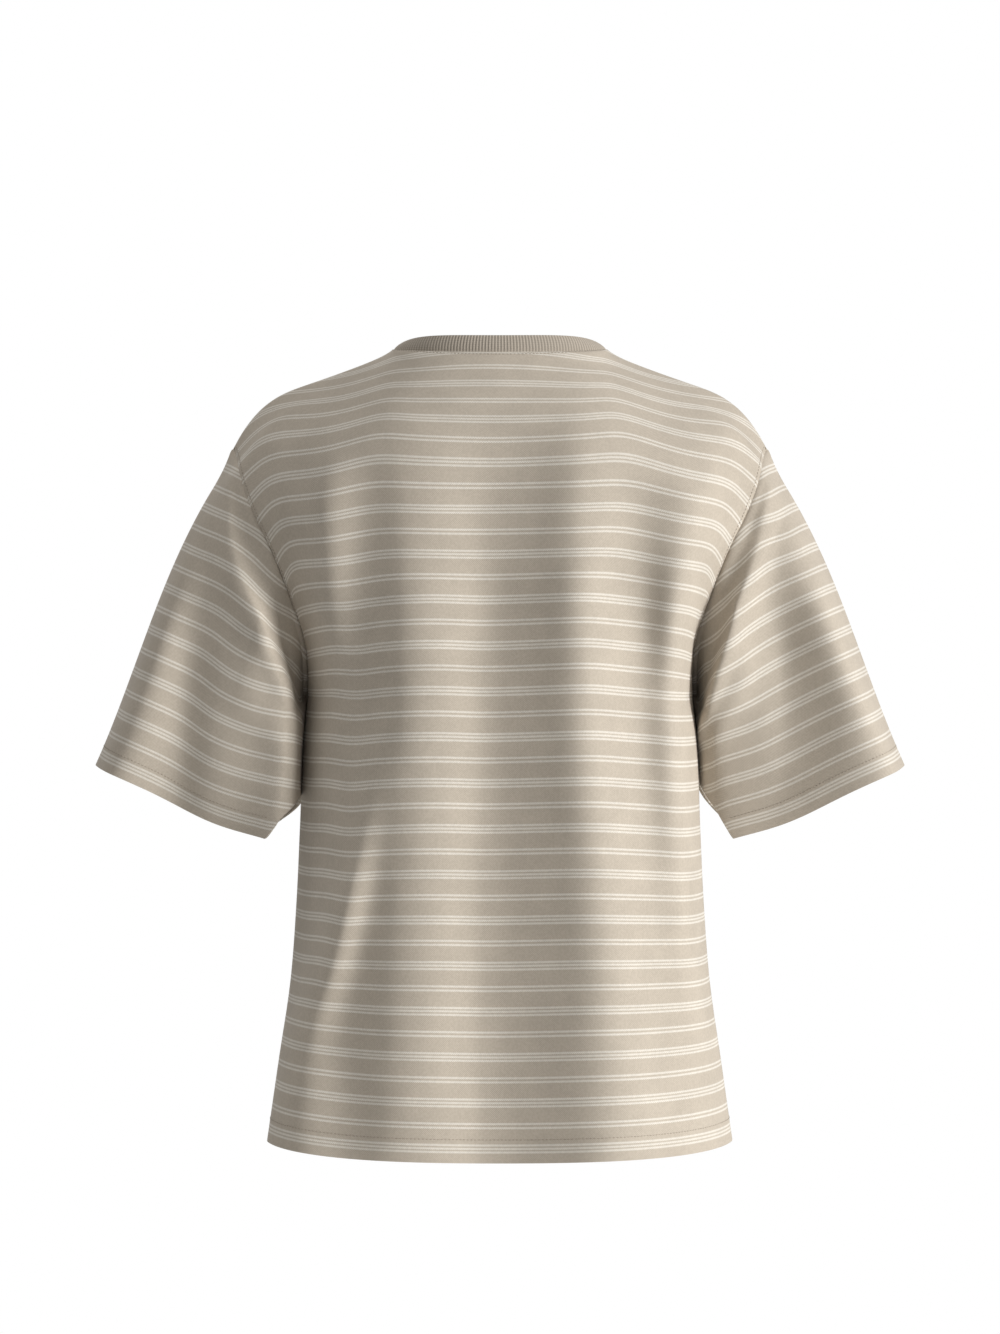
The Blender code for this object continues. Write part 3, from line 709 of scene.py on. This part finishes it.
def filled_out(points, share, angle):
    """Gives a straight sleeve its fullness round the arm, and its lip at the underarm seam."""
    crown = SLEEVE_CROWN * np.maximum(0.0, np.cos(angle))
    crown *= CROWN_SCALE * share * (1.0 - share) ** 2
    under = np.maximum(0.0, -np.cos(angle))
    lip = UNDERARM_LIP * under * ease(share / UNDERARM_LIP_END) * (1.0 - share)
    points[..., 0] += crown * cos(CUFF_TILT) + lip
    points[..., 1] += SLEEVE_SWELL * np.sin(angle) * np.abs(np.sin(angle)) * arch(share)
    points[..., 2] += crown * sin(CUFF_TILT)
    return points


def laid_on_body(points, share, angle):
    """Lays the inner part of a sleeve against the body's side, and keeps the rest clear of it."""
    depth = np.clip(points[..., 1], -FRONT_LYING_DEPTH, BACK_LYING_DEPTH)
    beside = body_half_width(depth, points[..., 2]) + BODY_CLEARANCE
    nearness = np.clip((pi - np.abs(angle)) / (pi - FRONT_LYING_FROM), UNDERARM_NEAREST, 1.0)
    pocket = np.where(angle > 0.0, BACK_POCKET, FRONT_POCKET) * nearness
    back_lying = ease((angle - BACK_LYING_FROM) / BACK_LYING_TURN)
    lying = np.where(angle > 0.0, back_lying, ease((-angle - FRONT_LYING_FROM) / FRONT_LYING_TURN))
    lying *= ease(share / pocket)
    lying *= ease((ARMPIT_Z - points[..., 2]) / (UNDERARM_SETTLE * nearness))
    away = points[..., 0] + (beside - points[..., 0]) * lying
    below = (points[..., 2] < ARMPIT_Z) & (share > 0.0)
    points[..., 0] = np.where(below, np.maximum(away, beside), points[..., 0])
    return points


def rounded_over(points, share, angle):
    """Rounds off the ridge that the shoulder's seam would carry on down the sleeve."""
    weight = ease(share / OVER_EASE_SHARE) * (1.0 - ease(np.abs(angle) / OVER_EASE_ANGLE))
    return evened(points, weight[..., None], OVER_EASE_ROUNDS)


def sleeve_shares():
    """Where a sleeve's rows lie: closer together at the armhole."""
    steps = np.linspace(0.0, 1.0, SLEEVE_ROWS + 1)
    return steps * (SLEEVE_ROWS_EVEN + (1.0 - SLEEVE_ROWS_EVEN) * steps)


def neck_band_path(count):
    """The neck seam, once round from the right over the back to the left and over the front."""
    fine = np.linspace(-NECK_SHARE, NECK_SHARE, NECK_PATH_STEPS)
    path = np.concatenate((top_edge("back", fine), top_edge("front", fine[::-1])[1:]))
    return evenly(path, count + 1)[:-1]


def rib_grid():
    """Outer skin of the neck band: rows from the neck seam to the band's top, closed rings."""
    neck = neck_band_path(RIB_COUNT * RIB_STEPS)
    share = np.linspace(0.0, 1.0, RIB_ROWS + 1)[:, None]
    sideness = (np.abs(neck[:, 0]) / NECK_HALF) ** RIB_SIDE_POWER
    middle = np.where(neck[:, 1] < 0.0, RIB_LEAN_FRONT, RIB_LEAN_BACK)
    lean = middle * (1.0 - sideness) + RIB_LEAN_SIDE * sideness
    rise = RIB_HEIGHT * (1.0 - sideness) + RIB_RISE_SIDE * sideness
    flat = neck * np.array((1.0, 1.0, 0.0))
    inward = -flat / np.linalg.norm(flat, axis=1, keepdims=True)
    curl = share * share * RIB_CURL + share * (1.0 - RIB_CURL)
    column = np.arange(len(neck))
    relief = RIB_DEPTH * (0.5 + 0.5 * np.cos(2.0 * pi * column / RIB_STEPS)) - RIB_DEPTH
    bulge = RIB_BULGE * arch(share) + relief * ease(share / RIB_DEPTH_SHARE)
    grid = neck[None] + inward[None] * (lean * curl - bulge)[..., None]
    grid[..., 2] += rise * share
    return grid


def outward_normals(grid, closed, way):
    """Unit normals of a grid of points, by the directions to their neighbours. The way, 1 or -1,
    turns them outwards."""
    down = np.gradient(grid, axis=0)
    if closed:
        across = np.roll(grid, -1, axis=1) - np.roll(grid, 1, axis=1)
    else:
        across = np.gradient(grid, axis=1)
    normals = np.cross(across, down)
    lengths = np.linalg.norm(normals, axis=-1, keepdims=True)
    return normals / np.maximum(lengths, TINY) * way


def face_list(rows, columns, closed):
    """Index quads of a grid, as an array; a closed grid's last column joins its first."""
    steps = columns if closed else columns - 1
    row = np.arange(rows - 1)[:, None] * columns
    column = np.arange(steps)[None, :]
    following = (column + 1) % columns
    corners = (row + column, row + following, row + columns + following, row + columns + column)
    quads = [np.broadcast_to(corner, (rows - 1, steps)) for corner in corners]
    return np.stack(quads, axis=-1).reshape(-1, 4)


def rim_faces(rows, columns, closed):
    """Index quads that join the outer grid's edges to the inner grid's."""
    count = rows * columns
    steps = columns if closed else columns - 1
    column = np.arange(steps)
    following = (column + 1) % columns
    last = (rows - 1) * columns
    edges = [np.stack((following, column), axis=1)]
    edges.append(np.stack((last + column, last + following), axis=1))
    if not closed:
        row = np.arange(rows - 1) * columns
        edges.append(np.stack((row, row + columns), axis=1))
        edges.append(np.stack((row + columns + columns - 1, row + columns - 1), axis=1))
    edges = np.concatenate(edges)
    return np.stack((edges[:, 0], edges[:, 1], edges[:, 1] + count, edges[:, 0] + count), axis=1)


def make_mesh(name, points, faces):
    """Smooth mesh with its faces turned outwards."""
    mesh = bpy.data.meshes.new(name)
    mesh.from_pydata(points.tolist(), [], faces.tolist())
    shape = bmesh.new()
    shape.from_mesh(mesh)
    bmesh.ops.recalc_face_normals(shape, faces=shape.faces)
    shape.to_mesh(mesh)
    shape.free()
    mesh.shade_smooth()
    return mesh


def set_cloth_places(mesh, places):
    """Gives every corner its place in the flat cloth."""
    layer = mesh.uv_layers.new(name="cloth")
    corners = np.zeros(len(mesh.loops), np.int32)
    mesh.loops.foreach_get("vertex_index", corners)
    layer.data.foreach_set("uv", places[corners].astype(np.float32).ravel())


def add_object(name, mesh, material):
    """Puts a mesh into the scene as an object of one material."""
    mesh.materials.append(material)
    item = bpy.data.objects.new(name, mesh)
    bpy.context.scene.collection.objects.link(item)
    return item


def make_wall(name, grid, normals, closed, thickness, places, material):
    """Object of one piece of cloth, closed all round. Thickness is given row by row."""
    rows, columns = grid.shape[:2]
    inner = grid - normals * thickness.reshape(rows, 1, 1)
    points = np.concatenate((grid.reshape(-1, 3), inner.reshape(-1, 3)))
    outer = face_list(rows, columns, closed)
    count = rows * columns
    faces = np.concatenate((outer, outer[:, ::-1] + count, rim_faces(rows, columns, closed)))
    mesh = make_mesh(name, points, faces)
    mesh.set_sharp_from_angle(angle=SHARP_ANGLE)
    set_cloth_places(mesh, np.concatenate((places.reshape(-1, 2), places.reshape(-1, 2))))
    return add_object(name + "_cloth", mesh, material)


def panel_places(grid):
    """Place of each point of a panel in the flat cloth."""
    v = travelled(grid)
    u = travelled(grid[WIDEST_ROW])
    u = u - u[COLUMNS // 2]
    x, z = grid[..., 0], grid[..., 2]
    side = np.clip(np.abs(x) / SAG_HALF, 0.0, 1.0) ** 2
    sag = np.where(x > 0.0, SAG_PLUS, SAG_MINUS) * side
    sag *= ease((z - SAG_END_Z) / (SAG_FULL_Z - SAG_END_Z))
    lift = NECK_LIFT * ease(np.abs(x) / NECK_LIFT_HALF)
    lift *= ease((z - NECK_LIFT_FROM_Z) / NECK_LIFT_DEPTH)
    # this takes out the kinks that the neck's corners put into the courses
    weight = held_at_ends(ease((z - COURSES_EASE_FROM) / COURSES_EASE_FADE))
    v = evened(v + sag - lift, weight, COURSES_EASE_ROUNDS)
    return np.stack((np.broadcast_to(u, v.shape), v), axis=-1)


def ring_angles(count):
    """Angles round the arm of a sleeve's columns, from over the arm by the back to the front."""
    turn = np.linspace(0.0, 2.0 * pi, count, endpoint=False)
    return np.where(turn <= pi + TINY, turn, turn - 2.0 * pi)


def sleeve_places(grid, side):
    """Place of each point of a sleeve in the flat cloth; v runs up from the untucked cuff."""
    tuck = cuff_tuck(ring_angles(grid.shape[1]))
    v = travelled_back(grid) + TUCK_COURSES[side] * tuck
    ring = grid[SLEEVE_ROWS // 2]
    u = travelled(np.concatenate((ring, ring[:1])))[:-1]
    return np.stack((np.broadcast_to(u, v.shape), v), axis=-1)


def puffed(grid, normals, distance):
    """Raises the cloth by its distance from the seam, so that the seam lies in a shallow dip."""
    share = distance / SEAM_PUFF_REACH
    return grid + normals * (SEAM_PUFF * share * np.exp(1.0 - share))[..., None]


def stitches(name, runs, material):
    """Short threads in a row along each run of points and cloth normals."""
    points, faces = [], []
    for path, normals in runs:
        places = travelled(path)
        count = int(places[-1] / STITCH_PITCH)
        starts = (np.arange(count) + 0.5) * places[-1] / count - 0.5 * STITCH_LENGTH
        for start in starts:
            faces += stitch_faces(len(points))
            points += stitch_points(path, normals, places, start)
    mesh = bpy.data.meshes.new(name)
    mesh.from_pydata(points, [], faces)
    mesh.shade_smooth()
    return add_object(name, mesh, material)


def stitch_points(path, normals, places, start):
    """Rings of points round one stitch, which sinks into the cloth at its ends."""
    centres = read_at(path, places, start + STITCH_LENGTH * np.array(STITCH_STEPS))
    normal = read_at(normals, places, start)
    normal /= np.linalg.norm(normal)
    run = centres[-1] - centres[0]
    side = np.cross(run / np.linalg.norm(run), normal)
    points = []
    for centre, size, rise in zip(centres, STITCH_SIZES, STITCH_RISES):
        for corner in range(STITCH_SIDES):
            turn = 2.0 * pi * corner / STITCH_SIDES
            out = side * cos(turn) + normal * sin(turn)
            points.append(tuple(centre + normal * rise + out * (STITCH_RADIUS * size)))
    return points


def stitch_faces(first):
    """Faces of one stitch, closed at both ends; first is the number of its first point."""
    faces = []
    last = first + (len(STITCH_STEPS) - 1) * STITCH_SIDES
    for ring in range(first, last, STITCH_SIDES):
        for corner in range(STITCH_SIDES):
            here = ring + corner
            following = ring + (corner + 1) % STITCH_SIDES
            faces.append((here, following, following + STITCH_SIDES, here + STITCH_SIDES))
    faces.append(tuple(range(first, first + STITCH_SIDES))[::-1])
    faces.append(tuple(range(last, last + STITCH_SIDES)))
    return faces


def run_of(lines, distance):
    """Points and normals a distance along each line, a line being points and their normals."""
    points, normals = [], []
    for line_points, line_normals in lines:
        places = travelled(line_points)
        points.append(read_at(line_points, places, distance))
        normals.append(read_at(line_normals, places, distance))
    return np.array(points), np.array(normals)


def panel_stitches(grid, normals):
    """Hem, armhole and neck stitching of a panel."""
    hem = [(grid[:, column], normals[:, column]) for column in range(COLUMNS + 1)]
    runs = [run_of(hem, HEM_STITCH)]
    for way in (1, -1):
        rows = range(LOW_ROWS + SEAM_STITCH_CLEAR, grid.shape[0] - SEAM_STITCH_CLEAR)
        armhole = [(grid[row, ::way], normals[row, ::way]) for row in rows]
        runs.append(run_of(armhole, SEAM_STITCH))
    margin = int(round((COLUMNS + 1) * (1.0 - NECK_SHARE) / 2)) + 1
    columns = range(margin, COLUMNS + 1 - margin)
    neck = [(grid[::-1, column], normals[::-1, column]) for column in columns]
    runs.append(run_of(neck, NECK_STITCH))
    return runs


def sleeve_stitches(grid, normals):
    """Cuff stitching; where the cuff is tucked under, none shows."""
    angle = ring_angles(grid.shape[1])
    around = np.argsort(angle)
    around = around[np.abs(angle[around]) < CUFF_TUCK_FROM]
    lines = [(grid[::-1, column], normals[::-1, column]) for column in around]
    return [run_of(lines, CUFF_STITCH)]


class Graph:
    """A material's nodes, added one by one and wired as they are made."""

    def __init__(self, name):
        self.material = bpy.data.materials.new(name)
        self.material.use_nodes = True
        self.tree = self.material.node_tree
        self.shader = self.tree.nodes["Principled BSDF"]

    def put(self, socket, value):
        """Links a socket's value, or sets a plain one."""
        if isinstance(value, bpy.types.NodeSocket):
            self.tree.links.new(value, socket)
        else:
            socket.default_value = value

    def node(self, kind, output=0, settings=None, **inputs):
        """Adds a node with its settings and inputs, and gives one of its outputs."""
        node = self.tree.nodes.new(kind)
        for name, value in (settings or {}).items():
            setattr(node, name, value)
        for name, value in inputs.items():
            self.put(node.inputs[name.replace("_", " ")], value)
        return node.outputs[output]

    def math(self, operation, *values):
        """Adds a math node on sockets or numbers."""
        node = self.tree.nodes.new("ShaderNodeMath")
        node.operation = operation
        for socket, value in zip(node.inputs, values):
            self.put(socket, value)
        return node.outputs[0]

    def mix(self, share, first, second, blend="MIX"):
        """Two colours, the second laid over the first by a share."""
        node = self.tree.nodes.new("ShaderNodeMix")
        node.data_type = "RGBA"
        node.blend_type = blend
        self.put(node.inputs[0], share)
        self.put(node.inputs[6], first)  # of its sockets, these are the colours
        self.put(node.inputs[7], second)
        return node.outputs[2]

    def ramp(self, value, low, high, to_low=0.0, to_high=1.0):
        """The value's range from low to high, smoothly mapped to another."""
        node = self.tree.nodes.new("ShaderNodeMapRange")
        node.interpolation_type = "SMOOTHSTEP"
        for socket, item in zip(node.inputs, (value, low, high, to_low, to_high)):
            self.put(socket, item)
        return node.outputs[0]

    def noise(self, kind):
        """A noise in the cloth itself, by its scale and detail."""
        place = self.node("ShaderNodeTexCoord", output=3)
        return self.node("ShaderNodeTexNoise", Vector=place, Scale=kind.scale, Detail=kind.detail)

    def toned(self, colour, *tones):
        """A colour times all the tones."""
        tone = tones[0]
        for other in tones[1:]:
            tone = self.math("MULTIPLY", tone, other)
        shade = self.node("ShaderNodeCombineColor", Red=tone, Green=tone, Blue=tone)
        return self.mix(1.0, colour, shade, "MULTIPLY")


def cloth_axes(graph):
    """The two sockets of a point's place in the flat cloth."""
    uv = graph.node("ShaderNodeUVMap", settings={"uv_map": "cloth"})
    parts = graph.tree.nodes.new("ShaderNodeSeparateXYZ")
    graph.put(parts.inputs[0], uv)
    return parts.outputs[0], parts.outputs[1]


def line(graph, distance):
    """1 within a pinstripe's own width, 0 outside it."""
    within = LINE_HALF * (1.0 - LINE_SOFTNESS)
    return graph.ramp(distance, within, LINE_HALF * (1.0 + LINE_SOFTNESS), 1.0, 0.0)


def stripe_mask(graph, v, first):
    """Pinstripes in groups of three and two by turns, the first of them a group of three."""
    groups = graph.math("DIVIDE", graph.math("SUBTRACT", v, first), STRIPE_PITCH)
    whole = graph.math("ROUND", groups)
    off = graph.math("MULTIPLY", graph.math("SUBTRACT", groups, whole), STRIPE_PITCH)
    off = graph.math("ABSOLUTE", off)
    pair = line(graph, graph.math("ABSOLUTE", graph.math("SUBTRACT", off, PAIR_HALF_SPACING)))
    outer = line(graph, graph.math("ABSOLUTE", graph.math("SUBTRACT", off, TRIPLE_SPACING)))
    triple = graph.math("MAXIMUM", line(graph, off), outer)
    odd = graph.math("PINGPONG", whole, 1.0)
    pairs = graph.math("MULTIPLY", pair, odd)
    triples = graph.math("MULTIPLY", triple, graph.math("SUBTRACT", 1.0, odd))
    return graph.math("MINIMUM", graph.math("ADD", pairs, triples), 1.0)


def knit_height(graph, u, v):
    """Relief of the jersey's stitches, from 0 to 1."""
    across = graph.math("SINE", graph.math("MULTIPLY", u, 2.0 * pi / WALE))
    up = graph.math("SINE", graph.math("MULTIPLY", v, 2.0 * pi / COURSE))
    return graph.math("MULTIPLY_ADD", graph.math("MULTIPLY", across, up), 0.5, 0.5)


def jersey(name, first):
    """Striped jersey with painted shade in its knit; first is where the lowest pinstripe group
    lies.
    """
    graph = Graph(name)
    u, v = cloth_axes(graph)
    knit = knit_height(graph, u, v)
    waved = graph.math("MULTIPLY_ADD", knit, COURSE_WAVE, v)
    base = graph.mix(stripe_mask(graph, waved, first), TAUPE, OFF_WHITE)
    cloud = graph.ramp(graph.noise(CLOUD), CLOUD.low, CLOUD.high, *CLOUD_TONES)
    grain = graph.ramp(graph.noise(GRAIN), GRAIN.low, GRAIN.high, *GRAIN_TONES)
    # the knit's tone is painted shade, darker low in the stitches and lighter on their tops
    colour = graph.toned(base, cloud, grain, graph.ramp(knit, 0.0, 1.0, *KNIT_PAINTED_SHADE))
    finish_cloth(graph, colour, knit, JERSEY_RELIEF)
    return graph.material


def rib_cloth(name):
    """Plain rib, with painted shade between its ribs and between its courses."""
    graph = Graph(name)
    u, v = cloth_axes(graph)
    across = graph.math("COSINE", graph.math("MULTIPLY", u, 2.0 * pi))
    up = graph.math("SINE", graph.math("MULTIPLY", v, 2.0 * pi / COURSE))
    # painted shade between the ribs and between the courses
    ribs = graph.ramp(graph.math("MULTIPLY_ADD", across, 0.5, 0.5), 0.0, 1.0, *RIB_PAINTED_SHADE)
    courses = graph.ramp(up, -1.0, 1.0, *RIB_COURSE_PAINTED_SHADE)
    finish_cloth(graph, graph.toned(RIB_TAUPE, ribs, courses), up, RIB_RELIEF)
    return graph.material


def thread_material(name):
    """Sewing thread, of two tones."""
    graph = Graph(name)
    cloud = graph.noise(THREAD_NOISE)
    share = graph.ramp(cloud, THREAD_NOISE.low, THREAD_NOISE.high)
    finish_cloth(graph, graph.mix(share, THREAD_DARK, THREAD), cloud, THREAD_RELIEF)
    return graph.material


def finish_cloth(graph, colour, relief, depth):
    """Matt cloth with a faint sheen and the relief of its stitches."""
    shader = graph.shader
    graph.put(shader.inputs["Base Color"], colour)
    graph.put(shader.inputs["Roughness"], graph.ramp(relief, 0.0, 1.0, *ROUGHNESSES))
    shader.inputs["Specular IOR Level"].default_value = SPECULAR
    shader.inputs["Sheen Weight"].default_value = SHEEN
    shader.inputs["Sheen Roughness"].default_value = SHEEN_ROUGHNESS
    bump = graph.tree.nodes.new("ShaderNodeBump")
    bump.inputs["Strength"].default_value = BUMP_STRENGTH
    bump.inputs["Distance"].default_value = depth
    graph.put(bump.inputs["Height"], relief)
    graph.put(shader.inputs["Normal"], bump.outputs[0])


def add_light(light):
    """Round area light turned to the garment."""
    data = bpy.data.lights.new(light.name, "AREA")
    data.shape = "DISK"
    data.size = light.size
    data.energy = light.power
    item = bpy.data.objects.new(light.name, data)
    item.location = light.place
    item.rotation_mode = "QUATERNION"
    way = Vector(LIGHT_TARGET) - Vector(light.place)
    item.rotation_quaternion = way.to_track_quat("-Z", "Y")
    bpy.context.scene.collection.objects.link(item)


def make_floor():
    """Plain pale round floor below the garment."""
    graph = Graph("studio_floor")
    graph.shader.inputs["Base Color"].default_value = FLOOR_COLOUR
    graph.shader.inputs["Roughness"].default_value = FLOOR_ROUGHNESS
    turn = np.linspace(0.0, 2.0 * pi, FLOOR_STEPS, endpoint=False)
    level = np.full(FLOOR_STEPS, FLOOR_Z)
    ring = np.stack((FLOOR_RADIUS * np.cos(turn), FLOOR_RADIUS * np.sin(turn), level), axis=1)
    mesh = bpy.data.meshes.new("floor")
    mesh.from_pydata(ring.tolist(), [], [list(range(FLOOR_STEPS))])
    add_object("floor", mesh, graph.material)


def make_world():
    """White surroundings, dimmer as a light than as they are seen."""
    world = bpy.data.worlds.new("studio")
    bpy.context.scene.world = world
    world.use_nodes = True
    tree = world.node_tree
    seen = tree.nodes["Background"]
    seen.inputs[0].default_value = WHITE
    seen.inputs[1].default_value = 1.0
    light = tree.nodes.new("ShaderNodeBackground")
    light.inputs[0].default_value = WHITE
    light.inputs[1].default_value = AMBIENT
    path = tree.nodes.new("ShaderNodeLightPath")
    mixed = tree.nodes.new("ShaderNodeMixShader")
    tree.links.new(path.outputs["Is Camera Ray"], mixed.inputs[0])
    tree.links.new(light.outputs[0], mixed.inputs[1])
    tree.links.new(seen.outputs[0], mixed.inputs[2])
    tree.links.new(mixed.outputs[0], tree.nodes["World Output"].inputs[0])


def make_camera():
    """The photo's own view, from straight behind."""
    data = bpy.data.cameras.new("camera")
    data.sensor_width = SENSOR
    data.lens = CAMERA_FOCAL_PIXELS / PHOTO_HEIGHT * SENSOR
    camera = bpy.data.objects.new("camera", data)
    camera.location = CAMERA_PLACE
    camera.rotation_euler = CAMERA_TURN
    bpy.context.scene.collection.objects.link(camera)
    bpy.context.scene.camera = camera


def set_stage():
    """Floor, surroundings, lights and camera."""
    make_floor()
    make_world()
    for light in LIGHTS:
        add_light(light)
    make_camera()
    bpy.context.scene.view_settings.view_transform = "Standard"


def seam_distance(grid):
    """How far each point of a panel is from its nearest side or its top, along the cloth."""
    across = grid.transpose(1, 0, 2)
    from_side = np.minimum(travelled(across), travelled_back(across)).T
    return np.minimum(from_side, travelled_back(grid))


def build_panels(cloth, thread):
    """Both panels; gives their grids and pieces."""
    grids, pieces = {}, {}
    for panel, way in (("back", -1.0), ("front", 1.0)):
        grid = panel_grid(panel)
        grids[panel] = grid
        normals = outward_normals(grid, False, way)
        skin = puffed(grid, normals, seam_distance(grid))
        height = grid[:, COLUMNS // 2, 2] - SECTIONS[0].z
        thickness = np.where(height < HEM_TURN, TURNED_WALL, WALL)
        pieces[panel] = make_wall(panel, skin, normals, False, thickness, panel_places(grid), cloth)
        runs = panel_stitches(skin, normals)
        pieces[panel + "_stitches"] = stitches(panel + "_stitches", runs, thread)
    return grids, pieces


def build_sleeves(grids, cloth, thread):
    """Both sleeves, each on the armhole that the panels' edges leave."""
    pieces = {}
    back, front = grids["back"], grids["front"]
    for name, column, side in (("sleeve_left", -1, LEFT), ("sleeve_right", 0, RIGHT)):
        armhole = (back[LOW_ROWS:, column][::-1], front[LOW_ROWS + 1:-1, column])
        grid = sleeve_grid(np.concatenate(armhole), side)
        normals = outward_normals(grid, True, -side)
        skin = puffed(grid, normals, travelled(grid))
        places = sleeve_places(grid, side)
        thickness = np.where(places[:, 0, 1] < CUFF_TURN, TURNED_WALL, WALL)
        pieces[name] = make_wall(name, skin, normals, True, thickness, places, cloth)
        runs = sleeve_stitches(skin, normals)
        pieces[name + "_stitches"] = stitches(name + "_stitches", runs, thread)
    return pieces


def build_band(cloth):
    """The neck band, of one thickness all over."""
    grid = rib_grid()
    normals = outward_normals(grid, True, -1.0)
    v = travelled(grid)
    u = np.broadcast_to(np.arange(grid.shape[1]) / RIB_STEPS, v.shape)
    thickness = np.full(RIB_ROWS + 1, RIB_WALL)
    return make_wall("neck_rib", grid, normals, True, thickness, np.stack((u, v), axis=-1), cloth)


def build_shirt():
    """All the pieces by name, each riding on the one body."""
    thread = thread_material("sewing_thread")
    grids, pieces = build_panels(jersey("jersey_body", HEM_STRIPE), thread)
    pieces.update(build_sleeves(grids, jersey("jersey_sleeve", CUFF_STRIPE), thread))
    pieces["neck_rib"] = build_band(rib_cloth("neck_band_rib"))
    for name, piece in pieces.items():
        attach(piece, "root")
        if not name.endswith("_stitches"):
            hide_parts(name)
    return pieces


set_stage()
shirt = build_shirt()
